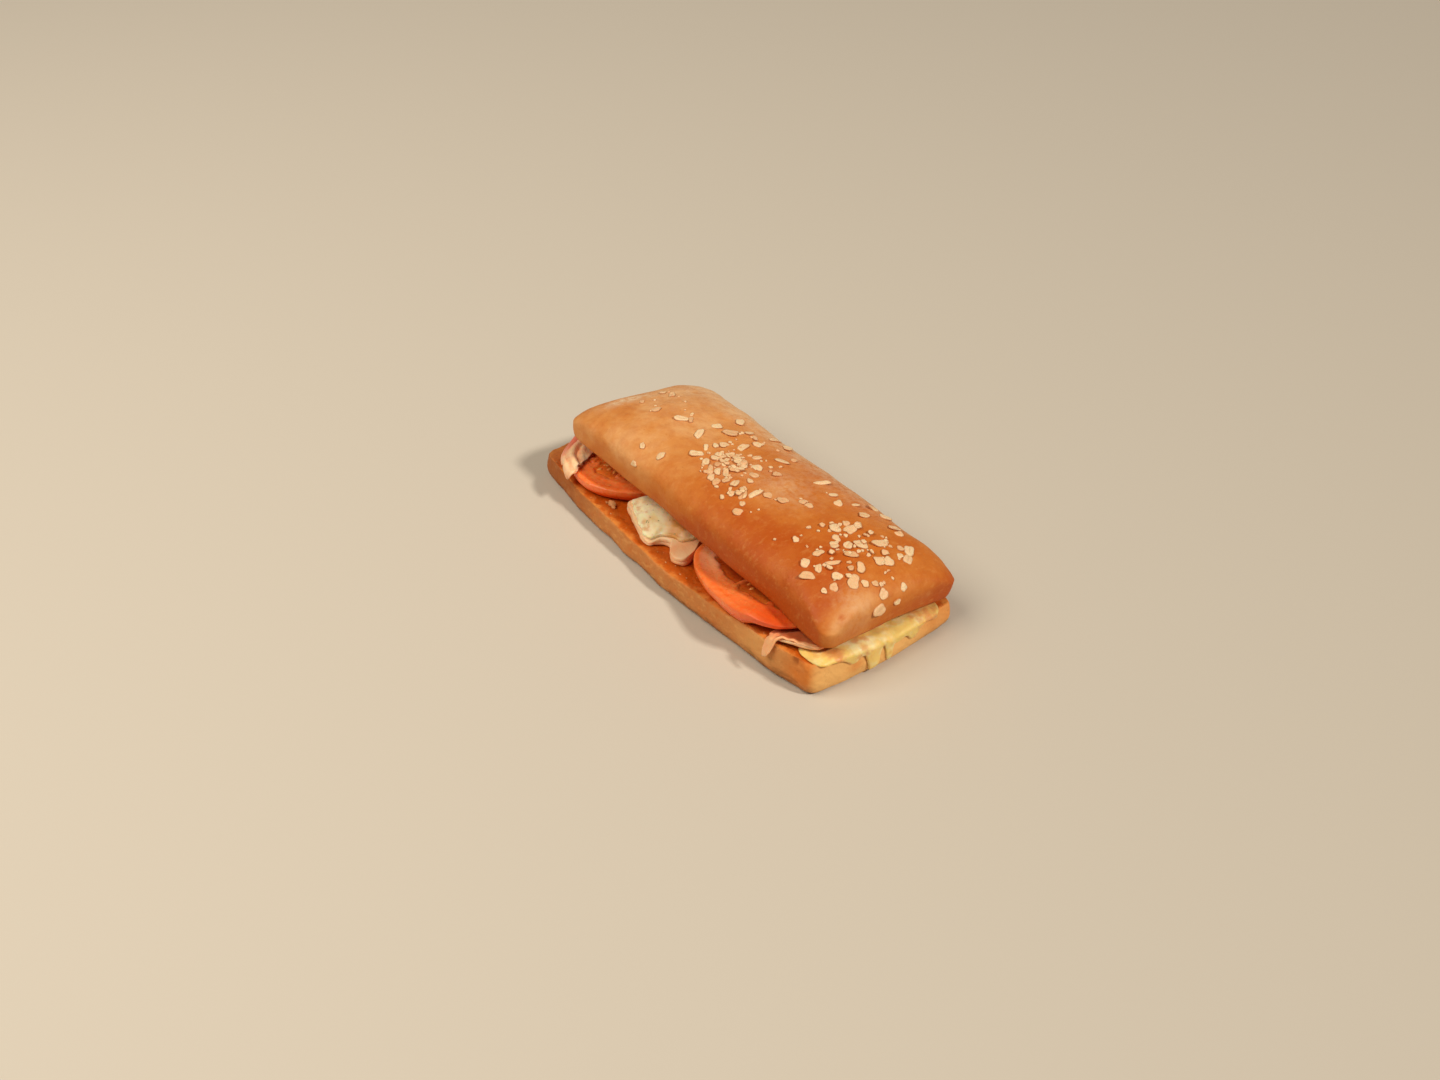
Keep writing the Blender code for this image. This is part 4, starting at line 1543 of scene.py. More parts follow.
@dataclass
class RuffledTurkey:
    """The slice over the -X tomato: flat on top, then hanging down in folds to the bread."""

    layers: Layers = LAYERS
    centre: Pair = (-84.0, -12.0)
    outline: Rows = (
        (-66.3, -42.0), (-70.5, -37.8), (-75.5, -31.5), (-79.5, -23.0), (-76.0, -8.0),
        (-72.0, 10.0), (-77.0, 21.0), (-87.0, 19.0), (-93.0, 8.0), (-95.0, -8.0),
        (-94.5, -21.0), (-92.0, -30.5), (-86.0, -36.5), (-77.0, -41.5), (-69.5, -44.3),
    )
    wander: float = 0.9 / 45.0
    wander_bumps: Bumps = Bumps(4.0, 32, 2)
    pleat_bumps: Bumps = Bumps(9.0, 31, 2)
    relief: Relief = ((0.12, Bumps(2.2, 33, 2)),)
    thickness: float = 1.4
    fold_length: float = 11.0
    rim_radius: float = 29.0
    pleat: float = 0.155

    def crest(self, x: Array, y: Array) -> Array:
        """1 on the crests of the pleats, which run along the tomato's rim, and 0 between."""
        phase = (self.layers.rim_share(x, y) - 0.93) / self.pleat
        return 0.5 + 0.5 * np.cos(TURN * (phase + 0.30 * self.pleat_bumps.across(x, y)))

    def height(self, x: Array, y: Array) -> Array:
        """Height of the middle of the slice, folds included.

        Args:
            x, y: places in mm.

        Returns:
            The height in mm at each place.
        """
        layers, half = self.layers, 0.5 * self.thickness
        share = layers.rim_share(x, y)
        above = layers.left_top(x, y) + GAP + half
        below = layers.floor(x, y) + half
        angle = np.arctan2(y - layers.left_centre[1], x - layers.left_centre[0])
        fold = np.cos(TURN * angle * self.rim_radius / self.fold_length)
        open_side = ramp(-14.0, -27.0, y)
        lift = 0.7 * ramp(0.74, 1.0, share) * open_side * (0.55 + 0.45 * fold)
        lift += 1.7 * ramp(0.72, 0.9, share) * open_side * self.crest(x, y)
        free = mix(above, below, ramp(1.0, 1.22, share)) + lift
        room = layers.form.roof_height(x, y) - GAP - half
        covered = ramp(-88.0, -85.0, x) * ramp(-35.0, -32.5, y)
        return mix(free, np.minimum(free, room), covered)

    def build(self) -> None:
        """Make and dress the slice."""
        edge = ragged(self.outline, 240, self.centre, self.wander, self.wander_bumps)
        slice_ = Leaf(edge, self.centre, self.height, self.thickness)
        shape = Shape("turkey_left_slice", *slice_.shell())
        points = shape.points
        shape.swell(lumpy(points, self.relief))
        x, y, z = points.T
        crest = self.crest(x, y)
        rosy = ramp(-83.0, -89.0, x + 0.4 * (y + 28.0)) * ramp(16.0, 19.0, z)
        # painted highlight on the crests of the pleats, painted shade in warmer colour between them
        shape.masks(
            rosy=0.9 * rosy,
            warm=0.25 * ramp(0.7, 0.2, crest),
            light=0.8 * ramp(0.4, 0.9, crest),
        )
        shape.piece(TurkeyFinish().material(), Slot.TURKEY, "turkey_left")


@dataclass
class FoldedTurkey:
    """The thick slice between the tomatoes, folded over so that its layers show."""

    layers: Layers = LAYERS
    centre: Pair = (-14.0, -5.0)
    outline: Rows = (
        (-38.5, -32.5), (-31.0, -36.5), (-21.0, -39.8), (-14.0, -41.8), (-9.5, -41.2),
        (-7.5, -36.5), (-3.0, -34.5), (0.8, -37.8), (6.6, -40.4), (11.2, -37.6),
        (9.0, -30.5), (4.0, -22.0), (3.5, -6.0), (4.0, 12.0), (7.0, 24.0),
        (-14.0, 28.0), (-34.0, 24.0), (-33.5, 8.0), (-33.0, -12.0), (-35.5, -25.0),
    )
    folds: int = 2
    groove: float = 0.35
    relief: Relief = ((0.16, Bumps(3.0, 45, 2)), (0.30, Bumps(6.5, 46, 2)))

    def rings(self) -> list[Array]:
        """The rings from the underside's middle, over the layers' edges, to the upper side's.

        Returns:
            The points of each ring.
        """
        edge = through(self.outline, 320, closed=True)
        inward = unit(self.centre - edge)

        def ring(inset: Number, level: float, share: float = 1.0) -> Array:
            """One ring at an inset, a share of the thickness and a share of the outline."""
            flat = shrunk(edge + inward * np.reshape(inset, (-1, 1)), self.centre, share)
            return between(flat, self.layers.floor, self.layers.fold_top, level)

        rings = [ring(0.9, 0.0, share) for share in np.linspace(0.1, 0.98, 12)]
        for level in np.linspace(0.02, 0.98, 28):
            layer = level * self.folds
            number = min(int(layer), self.folds - 1)
            groove = abs(2.0 * (layer - number) - 1.0) ** 3.0
            loose = 0.5 * (1.0 + Bumps(11.0, 41 + number, 2).across(*edge.T)) + 0.5 * level
            loose += 0.30 * Bumps(3.2, 47 + number, 2).across(*edge.T)
            rings.append(ring(self.groove * groove + loose, level))
        return rings + [ring(1.4, 1.0, share) for share in np.linspace(0.985, 0.05, 30)]

    def build(self) -> None:
        """Make and dress the slice."""
        layers = self.layers
        name = "turkey_middle_slice"
        shape = slab_shape(name, self.rings(), self.centre, layers.floor, layers.fold_top)
        points = shape.points
        shape.swell(lumpy(points, self.relief))
        x, y, z = points.T
        lobe = ramp(-3.0, 2.0, x)
        warm = 0.45 * lobe + 0.25 * ramp(15.0, 12.0, z)
        # painted light: a paler spot on the lobe
        pale = mix(0.75, 0.25 + 0.75 * hump(x, y, (8.5, -35.0), (3.0, 4.0)), lobe)
        shape.masks(rosy=0.0, warm=np.clip(warm, 0.0, 1.0), light=pale * ramp(11.0, 14.0, z))
        shape.piece(TurkeyFinish().material(), Slot.TURKEY, "turkey_middle")


@dataclass
class SoftCheese:
    """The soft cheese on the folded turkey slice."""

    layers: Layers = LAYERS
    centre: Pair = (-14.0, -5.0)
    outline: Rows = (
        (-36.4, -30.8), (-30.0, -35.0), (-20.6, -38.4), (-14.2, -40.4), (-10.6, -39.4),
        (-8.6, -35.0), (-3.5, -32.0), (1.0, -30.0), (2.0, -20.0), (1.5, -4.0),
        (2.0, 12.0), (2.5, 22.0), (-14.0, 25.0), (-30.5, 22.0), (-31.0, 6.0),
        (-30.5, -10.0), (-32.5, -22.0),
    )
    wander: float = 1.1 / 35.0
    wander_bumps: Bumps = Bumps(7.0, 51, 2)
    relief: Relief = ((0.28, Bumps(4.2, 52, 2)), (0.08, Bumps(1.4, 53)))
    lumps: Rows = (
        (-20.0, -31.0, 7.0, 5.0, 0.5), (-5.0, -28.0, 4.0, 3.0, 0.6), (3.0, -31.0, 5.0, 4.0, 0.5),
    )
    # Painted shade where the crown shades the cheese, and a faint spot further forward.
    mustard: Rows = (
        (-8.0, -26.0, 7.0, 3.5, 1.0), (-4.0, -31.0, 4.5, 4.0, 1.0), (-17.5, -35.0, 2.5, 2.0, 0.3),
    )

    def lower(self, x: Number, y: Number) -> Number:
        """Underside of the cheese."""
        return self.layers.fold_top(x, y) + 0.05

    def upper(self, x: Number, y: Number, share: float = 0.0) -> Number:
        """Upper side of the cheese: lumpy as it melted, thinning out over its rim.

        Args:
            x, y: places in mm.
            share: their share of the outline.

        Returns:
            The height in mm at each place.
        """
        melted = GAP + self.layers.cheese + 0.9 + hills(x, y, self.lumps)
        free = self.lower(x, y) + melted * (1.0 - 0.55 * ramp(0.86, 1.0, share))
        return np.minimum(free, self.layers.form.roof_height(x, y) - GAP)

    def build(self) -> BVHTree:
        """Make and dress the cheese.

        Returns:
            A search tree of its surface in mm.
        """
        edge = ragged(self.outline, 260, self.centre, self.wander, self.wander_bumps)
        levels = [(share, 0.0) for share in np.linspace(0.1, 0.985, 10)]
        for turn in np.linspace(-0.5 * math.pi, 0.5 * math.pi, 9):
            levels.append((0.992 + 0.012 * math.cos(turn), 0.5 + 0.5 * math.sin(turn)))
        levels += [(share, 1.0) for share in np.linspace(0.985, 0.04, 60)]
        rings = [
            between(shrunk(edge, self.centre, share), self.lower, partial(self.upper, share=share), level)
            for share, level in levels
        ]
        shape = slab_shape("cheese_middle_slice", rings, self.centre, self.lower, self.upper)
        points = shape.points
        shape.swell(lumpy(points, self.relief))
        x, y = points[:, 0], points[:, 1]
        from_edge = 0.397 * (x - self.outline[0][0]) + 0.917 * (y - self.outline[0][1])
        shape.masks(
            yellow=0.10 + 0.30 * hump(x, y, (-16.0, -33.0), (6.0, 4.0)),
            toasted=0.42 * ramp(6.0, 2.5, from_edge),
            mustard=np.clip(hills(x, y, self.mustard), 0.0, 0.9),
        )
        tree = shape.tree()
        shape.piece(CheeseFinish().material(), Slot.CHEESE, "cheese_middle")
        return tree


@dataclass
class ThinTurkey:
    """The thin slice at the +X end: its open edge is frilled and hangs over the bread."""

    layers: Layers = LAYERS
    centre: Pair = (81.0, -5.0)
    outline: Rows = (
        (70.0, -36.0), (72.4, -39.6), (72.7, -43.0), (74.0, -44.6), (76.2, -44.5),
        (77.6, -42.7), (78.4, -39.6), (81.5, -37.2), (86.0, -35.0), (89.5, -33.2),
        (92.5, -29.5), (94.0, -12.0), (93.5, 8.0), (93.0, 22.0), (87.0, 29.0),
        (75.0, 27.0), (69.5, 18.0), (68.5, 0.0), (68.0, -20.0),
    )
    strip: TornStrip = TornStrip(
        path=(
            (74.5, -39.2, 17.7), (78.0, -38.4, 18.1), (82.0, -36.4, 18.4),
            (87.0, -34.2, 18.7), (91.5, -30.8, 18.9),
        ),
        width=1.9,
        thickness=1.2,
        lean=(-0.3, -0.9, 0.25),
    )
    wander: float = 0.8 / 40.0
    wander_bumps: Bumps = Bumps(3.6, 61, 2)
    relief: Relief = ((0.10, Bumps(2.0, 62, 2)),)
    thickness: float = 1.1
    frill: float = 0.65
    frill_length: float = 4.6

    def height(self, x: Array, y: Array) -> Array:
        """Height of the middle of the slice: level on the bread, then over its edge.

        Args:
            x, y: places in mm.

        Returns:
            The height in mm at each place.
        """
        layers, half = self.layers, 0.5 * self.thickness
        beyond = layers.form.front_edge(x) + 0.6 - y
        fall = ramp(0.0, 1.4, beyond) + 2.2 * np.maximum(0.0, beyond - 0.8)
        fold = 0.5 + 0.5 * np.cos(TURN * (x + 0.25 * y) / self.frill_length)
        frill = self.frill * ramp(-30.0, -37.0, y) * fold
        free = layers.thin_floor(x, y) + half - fall + frill
        room = layers.form.roof_height(x, y) - GAP - half
        return mix(free, np.minimum(free, room), ramp(-35.5, -33.0, y))

    def build(self) -> None:
        """Make and dress the slice."""
        edge = ragged(self.outline, 260, self.centre, self.wander, self.wander_bumps)
        slice_ = Leaf(edge, self.centre, self.height, self.thickness).shell()
        shape = Shape("turkey_right_slice", *joined([slice_, self.strip.shell()]))
        points = shape.points
        shape.swell(lumpy(points, self.relief))
        x, y, z = points.T
        torn = np.arange(len(points)) >= len(slice_[0])
        fallen = ramp(15.5, 11.0, z)
        from_edge = y + 37.2 - 0.7 * (x - 81.5)
        # painted shade on the thin slice between the tomato's tip and the crown
        juicy = 0.85 * ramp(-0.2, 1.5, from_edge) * ramp(74.5, 78.5, x)
        shape.masks(
            rosy=0.0,
            warm=np.clip(np.where(torn, 0.30, 0.60) + 0.1 * fallen, 0.0, 1.0),
            light=np.clip(np.where(torn, 0.40, 0.12) + 0.3 * fallen, 0.0, 1.0),
            soak=np.where(torn, 0.0, juicy),
        )
        shape.piece(TurkeyFinish().material(), Slot.TURKEY, "turkey_right")


@dataclass
class EndCheese:
    """The melted slice at the +X end: level on the bread, bent over and down its end.

    Each drip is a row of (y, half its width, length) in mm, with the two long ones first.
    """

    form: RollForm = FORM
    start: float = 82.0
    span: Pair = (-36.6, 31.0)
    round_off: float = 6.0
    thickness: float = 1.6
    bend: float = 2.0
    sag: float = 1.0
    lip: float = 2.4
    lip_waves: Rows = ((0.9, 4.3, 0.0), (0.6, 2.1, 1.0))
    drips: Rows = ((-8.2, 3.4, 10.4), (-0.4, 2.0, 7.4), (-19.0, 3.0, 2.4), (13.5, 3.0, 3.0))
    lowest: float = 2.2
    seat: float = 0.2
    rows: int = 230
    columns: int = 54
    relief: Relief = ((0.40, Bumps(5.2, 71, 2)), (0.16, Bumps(2.2, 72, 2)))

    def body(self, y: float) -> float:
        """How thick the cheese is: full at the long drips, thin towards its ends.

        Args:
            y: place in mm.

        Returns:
            The thickness in mm.
        """
        low, high = self.span
        ends = ramp(low, low + 3.0, y) * ramp(high, high - 9.0, y)
        drip = sum(math.exp(-(((y - place) / (half + 1.0)) ** 4)) for place, half, _ in self.drips[:2])
        return self.thickness * (0.18 + 0.50 * ends + 0.35 * min(1.0, drip))

    def fullness(self, y: float) -> float:
        """0 at the slice's two ends, rising to 1 along a quarter circle: its round corners."""
        inside = min(y - self.span[0], self.span[1] - y) / self.round_off
        return math.sqrt(max(0.0, 1.0 - max(0.0, 1.0 - inside) ** 2))

    def depth(self, y: float) -> float:
        """How far the cheese hangs down the end.

        Args:
            y: place in mm.

        Returns:
            The depth in mm.
        """
        depth = self.lip + waves(y, self.lip_waves)
        for centre, half_width, length in self.drips:
            depth += length * math.exp(-(((y - centre) / half_width) ** 4))
        return max(0.1, depth * self.fullness(y) * ramp(-29.0, -18.0, y))

    def row(self, y: float) -> tuple[Array, Array]:
        """The section at one Y: over the bread, round its edge and down its end.

        Args:
            y: place in mm.

        Returns:
            The inner and the outer path, each a list of points.
        """
        form, body, full = self.form, self.body(y), self.fullness(y)
        edge = form.end_edge(y, 1.3)
        top = form.cut_height(edge, y) + self.seat
        pivot = edge - self.bend - 4.0
        start, bend = mix(pivot, self.start, full), mix(pivot, edge - self.bend, full)
        wall = mix(bend + 0.3, form.end_edge(y, 0.0) + 0.15, full)
        inner, outer = [], []
        for share in (0.0, 0.3, 0.65, 1.0):
            x = mix(start, bend, share)
            z = form.cut_height(x, y) + self.seat
            inner.append((x, y, z))
            outer.append((x, y, z + body * mix(0.35, 1.0, min(1.0, share * 3.0))))
        bulge, sag = 0.8 * body, self.sag * full
        for angle in (30.0, 60.0, 90.0):
            along, down = math.sin(math.radians(angle)), math.cos(math.radians(angle))
            x, z = bend + (wall - bend) * along, top - sag * (1.0 - down)
            inner.append((x, y, z))
            outer.append((x + bulge * along, y, z + bulge * down))
        depth = min(self.depth(y), top - sag - self.lowest)
        for share, swell in ((0.35, 0.62), (0.7, 0.55), (0.9, 0.34), (1.0, 0.04)):
            z = top - sag - depth * share
            inner.append((wall, y, z))
            outer.append((wall + swell * body, y, z))
        return through(inner, self.columns), through(outer, self.columns)

    def build(self) -> None:
        """Make and dress the slice."""
        middle, half = 0.5 * sum(self.span), 0.5 * (self.span[1] - self.span[0])
        places = middle - half * np.cos(np.linspace(0.03, math.pi - 0.03, self.rows))
        inner, outer = (np.array(side) for side in zip(*(self.row(y) for y in places)))
        shape = folded_shape("cheese_end_slice", inner, outer)
        points = shape.points
        outside = np.tile(np.arange(2 * self.columns) < self.columns, self.rows)
        body = np.repeat([self.body(y) for y in places], 2 * self.columns)
        shape.swell(outside * lumpy(points, self.relief) * body / self.thickness)
        y = points[:, 1]
        ends = 1.3 * ridge(y, -26.0, 4.5) + 0.7 * ridge(y, -14.0, 4.0) + 1.5 * ramp(6.0, 24.0, y)
        shape.masks(
            yellow=0.85 + 0.35 * Bumps(9.0, 73, 2).at(points),
            toasted=0.12 + 0.50 * ends + 0.25 * Bumps(6.0, 74).at(points),
            mustard=0.0,
        )
        shape.piece(CheeseFinish().material(), Slot.CHEESE, "cheese_end")


# ------------ scattered bits


class Swarm:
    """Many small bodies of one kind, gathered into a single mesh."""

    def __init__(self, name: str) -> None:
        """Start with nothing in it.

        Args:
            name: the piece's name.
        """
        self.name = name
        self.shells: list[Shell] = []
        self.tints: list[Array] = []
        self.edges: list[Array] = []

    def add(self, points: Array, faces: list, tint: float, edge: Number = 0.0) -> None:
        """Add one body.

        Args:
            points: its vertices in mm.
            faces: its faces.
            tint: its own tint, 0 to 1.
            edge: how much each vertex belongs to its rim.
        """
        self.shells.append((points, faces))
        self.tints.append(np.full(len(points), tint))
        self.edges.append(np.full(len(points), edge))

    def piece(self, finish: TintedFinish, slot: Slot) -> None:
        """Turn the swarm into one finished piece.

        Args:
            finish: its finish.
            slot: the record's material slot that it belongs to.
        """
        shape = Shape(self.name, *joined(self.shells))
        shape.masks(tint=np.concatenate(self.tints), edge=np.concatenate(self.edges))
        shape.piece(finish.material(), slot)


def pebble(rings: int, size: int) -> Shell:
    """A round body of radius 1, the start of a flake, seed, speck or crumb.

    Args:
        rings: how many rings it has.
        size: how many points each has.

    Returns:
        Its points and faces.
    """
    angle = np.linspace(0.0, TURN, size, endpoint=False)
    circle = np.column_stack((np.cos(angle), np.sin(angle), np.ones(size)))
    turns = np.linspace(-0.5 * math.pi, 0.5 * math.pi, rings + 2)[1:-1]
    levels = [circle * (math.cos(turn), math.cos(turn), math.sin(turn)) for turn in turns]
    return fan_shell(levels, (0.0, 0.0, -1.0), (0.0, 0.0, 1.0))


def landing(tree: BVHTree, x: float, y: float) -> tuple[Vector | None, Vector | None]:
    """The point and outward direction where something dropped at x, y lands, None if it misses."""
    return tree.ray_cast(Vector((x, y, 100.0)), Vector((0.0, 0.0, -1.0)))[:2]


def laid(points: Array, spot: Vector, normal: Vector, turn: float) -> Array:
    """Lay a body on a surface.

    Args:
        points: the body's points in mm, lying level round the origin.
        spot: where it lies.
        normal: the surface's outward direction there.
        turn: its heading in radians.

    Returns:
        The points in their places.
    """
    lean = normal.to_track_quat("Z", "Y").to_matrix()
    heading = lean.inverted() @ Vector((math.cos(turn), math.sin(turn), 0.0))
    spin = Euler((0.0, 0.0, math.atan2(heading.y, heading.x))).to_matrix()
    return points @ np.array(lean @ spin).T + np.array(spot)


@dataclass
class OatFlakes:
    """Oat flakes baked onto the crown: those that are listed one by one, and finer bits.

    Each spot is a row of (x, y, length, width, turn in degrees), each cluster one of (x, y,
    reach along x, reach along y, shortest, longest, count).
    """

    tree: BVHTree
    spots: Rows = (
        (-37.7, -23.6, 4.2, 2.2, 145), (-26.3, -22.0, 4.1, 4.0, 42),
        (-16.7, -10.0, 5.6, 4.2, 54), (-43.1, 1.2, 6.2, 3.4, 42),
        (-40.4, 4.5, 4.6, 2.1, 144), (-56.1, -3.3, 5.4, 3.2, 108),
        (-73.1, 12.5, 3.0, 4.6, 47), (-67.4, 13.6, 5.0, 2.6, 145),
        (-68.1, -2.8, 2.1, 3.0, 46), (-29.0, 0.7, 7.2, 3.4, 128),
        (-31.3, 12.4, 4.3, 4.2, 68), (-23.2, 13.9, 7.0, 4.6, 37),
        (-30.7, 25.0, 5.0, 4.0, 142), (-20.5, 22.1, 4.5, 3.4, 81),
        (-15.6, 21.7, 5.0, 2.3, 142), (-10.9, 11.3, 6.0, 3.4, 108),
        (-10.4, 19.0, 3.8, 4.4, 27), (-13.8, 31.8, 6.4, 3.4, 97),
        (-5.3, 32.0, 5.6, 4.4, 140), (-18.4, -3.4, 4.7, 2.0, 143),
        (-17.4, 1.1, 2.4, 3.7, 61), (-16.3, 4.8, 4.7, 3.6, 96),
        (-9.3, -10.2, 5.4, 2.8, 143), (-3.4, -12.4, 6.0, 2.5, 137),
        (1.5, -15.5, 5.0, 2.7, 131), (-9.5, -5.1, 3.8, 3.6, 90),
        (-9.2, -1.6, 3.6, 3.9, 60), (-8.2, 2.0, 4.0, 4.0, 79),
        (-2.8, 2.8, 6.0, 3.2, 142), (1.7, -4.2, 3.6, 3.7, 58),
        (3.8, -2.4, 3.2, 3.4, 40), (3.2, -8.9, 5.5, 2.3, 143),
        (-0.2, -10.8, 5.6, 2.5, 137), (7.3, -12.0, 3.8, 3.1, 97),
        (5.6, -16.0, 3.1, 3.8, 47), (11.4, -10.4, 5.1, 3.2, 125),
        (-3.5, -4.8, 2.8, 3.8, 57), (-4.4, -7.4, 3.4, 3.0, 111),
        (13.9, -4.3, 2.6, 3.4, 57), (-0.7, 11.0, 4.2, 3.1, 66),
        (6.4, 5.6, 4.6, 4.0, 23), (10.7, 0.3, 4.6, 3.6, 22),
        (15.4, 9.1, 3.7, 3.6, 65), (6.5, 19.1, 5.8, 3.6, 26),
        (7.1, 25.5, 3.2, 2.8, 87), (15.2, -20.1, 2.9, 1.6, 143),
        (16.1, -15.6, 3.4, 3.2, 105), (19.6, -12.5, 6.3, 3.0, 130),
        (24.2, -16.4, 2.3, 3.0, 47), (22.5, -8.4, 6.5, 3.2, 93),
        (26.4, -4.6, 3.5, 3.9, 57), (32.3, -1.6, 4.7, 3.8, 77),
        (26.6, -20.8, 4.5, 3.2, 28), (28.1, 23.1, 7.5, 2.8, 69),
        (38.4, 21.2, 4.7, 2.6, 78), (44.5, 18.4, 3.5, 3.9, 72),
        (47.7, 25.5, 3.4, 2.5, 85), (37.3, 5.3, 3.9, 3.2, 10),
        (40.8, 5.6, 3.9, 3.2, 10), (50.5, 32.5, 6.0, 3.6, 88),
        (55.4, 23.1, 5.2, 3.6, 79), (57.5, 33.6, 4.8, 3.8, 60),
        (66.3, 30.5, 5.4, 3.8, 75), (70.2, 29.7, 2.8, 4.0, 173),
        (58.5, 4.6, 5.2, 4.6, 79), (62.0, 9.7, 5.6, 4.2, 103),
        (61.0, 15.0, 5.0, 2.8, 138), (57.9, 11.1, 2.8, 3.2, 66),
        (63.7, 0.7, 3.1, 3.9, 63), (67.2, -3.4, 3.4, 3.9, 60),
        (69.6, 2.0, 4.4, 3.5, 112), (71.3, 7.3, 5.7, 4.6, 68),
        (74.7, -0.9, 5.1, 3.4, 65), (74.0, 15.4, 7.0, 4.0, 80),
        (80.8, 25.5, 6.4, 4.4, 134), (84.6, 21.4, 5.6, 4.0, 128),
        (78.8, 22.3, 3.0, 2.8, 81), (82.3, 19.0, 2.8, 2.6, 77),
        (82.0, 7.7, 4.4, 4.0, 73), (83.6, 11.2, 5.2, 4.0, 107),
        (67.4, -11.7, 4.7, 2.9, 92), (68.2, -19.3, 3.5, 3.8, 48),
        (73.4, -22.5, 5.4, 3.9, 48), (73.4, -16.7, 4.2, 2.5, 140),
        (74.8, -10.4, 5.6, 2.0, 64), (82.1, -2.2, 5.0, 3.1, 139),
        (80.3, -13.0, 4.3, 3.3, 35), (85.8, -9.1, 6.1, 4.6, 132),
        (88.6, -5.5, 2.7, 3.2, 66), (83.7, -17.4, 3.4, 3.5, 59),
        (90.3, -1.7, 2.9, 2.3, 72), (94.5, -1.0, 4.5, 3.4, 130),
        (97.2, -5.3, 5.8, 4.4, 135), (97.0, 4.5, 3.2, 2.2, 84),
        (94.8, 9.8, 3.6, 2.7, 139), (82.8, -21.7, 2.2, 2.6, 54),
        (55.7, -13.8, 2.6, 2.8, 53), (-34.2, -30.7, 3.2, 2.5, 20),
    )
    clusters: Rows = (
        (-3.0, -5.0, 9.0, 9.5, 2.3, 4.2, 18),
        (-2.0, -5.0, 13.0, 12.0, 0.9, 2.4, 26),
        (17.0, -13.0, 5.0, 4.0, 2.1, 3.6, 9),
        (-6.0, 10.0, 20.0, 16.0, 0.9, 2.4, 30),
        (72.0, 0.0, 18.0, 18.0, 2.1, 3.4, 16),
        (72.0, 0.0, 21.0, 21.0, 0.9, 2.4, 44),
        (30.0, 0.0, 60.0, 26.0, 0.9, 2.2, 18),
        (-62.0, 6.0, 20.0, 14.0, 0.9, 2.2, 10),
    )
    thickness: float = 1.1
    growth: float = 1.08
    large: float = 2.0

    def flake(self, rng: np.random.Generator, length: float, width: float) -> tuple[Array, list, Array]:
        """One flake: a thin, roughly squared oval with a broken rim and a slight curl.

        Args:
            rng: source of its small differences.
            length: in mm.
            width: in mm.

        Returns:
            Its points, its faces and how much each point belongs to the rim.
        """
        points, faces = pebble(8, 20)
        x, y, z = points.T
        angle, rim = np.arctan2(y, x), np.hypot(x, y)
        power = rng.uniform(2.3, 3.4)
        square = (np.abs(np.cos(angle)) ** power + np.abs(np.sin(angle)) ** power) ** (-1.0 / power)
        wobble = 1.0 + (square - 1.0) * rim**2
        for lobes, depth in ((2.0, 0.10), (3.0, 0.10), (5.0, 0.06)):
            wobble += depth * np.sin(lobes * angle + rng.uniform(0, 6)) * rim
        upper = z > 0.0
        crease = rng.uniform(0.0, 0.22) * ridge(y, 0.0, 0.2) * upper * (1.0 - rim**2)
        thick = self.thickness * rng.uniform(0.8, 1.2)
        lumps = 0.16 * Bumps(0.55, int(rng.integers(1000)), 2).across(x, y) * upper
        height = flattened(z, 0.7) * 0.5 * thick + (lumps - crease) * thick
        height += rng.uniform(-0.06, 0.10) * x**2 * length
        height += rng.uniform(-0.06, 0.10) * y**2 * width
        shaped = np.column_stack((x * wobble * 0.5 * length, y * wobble * 0.5 * width, height))
        # painted shade under the rim and in the crease
        return shaped, faces, 0.7 * ramp(0.86, 1.0, rim) * (z < 0.35) + 0.4 * (crease > 0.1)

    def places(self, rng: np.random.Generator) -> Rows:
        """Where the flakes lie.

        Args:
            rng: source of the places in the clusters.

        Returns:
            (x, y, length, width, turn in degrees, lift as a share of the thickness) of each.
        """
        grown = self.growth
        places = [(x, y, a * grown, b * grown, turn, 0.12) for x, y, a, b, turn in self.spots]
        for x, y, reach_x, reach_y, shortest, longest, count in self.clusters:
            for _ in range(count):
                away, heading = math.sqrt(rng.random()), rng.uniform(0.0, TURN)
                length = rng.uniform(shortest, longest)
                width = length * rng.uniform(0.55, 0.95)
                lift = rng.uniform(0.0, 0.9) if shortest > self.large else 0.05
                own_x = x + reach_x * away * math.cos(heading)
                own_y = y + reach_y * away * math.sin(heading)
                places.append((own_x, own_y, length, width, rng.uniform(0.0, 180.0), lift))
        return places

    def build(self) -> None:
        """Make and dress the flakes."""
        rng = np.random.default_rng(81)
        swarm = Swarm("oat_flakes")
        for x, y, length, width, turn, lift in self.places(rng):
            spot, normal = landing(self.tree, x, y)
            if spot is None:
                continue
            points, faces, edge = self.flake(rng, length, width)
            points[:, 2] += lift * self.thickness
            tilts = rng.normal(0.0, 0.07 + 0.2 * lift, 2)
            tilt = np.array(Euler((*tilts, 0.0)).to_matrix())
            points = laid(points @ tilt.T, spot, normal, math.radians(turn))
            swarm.add(points, faces, rng.random() ** 1.5, edge)
        swarm.piece(OAT, Slot.CRUST)


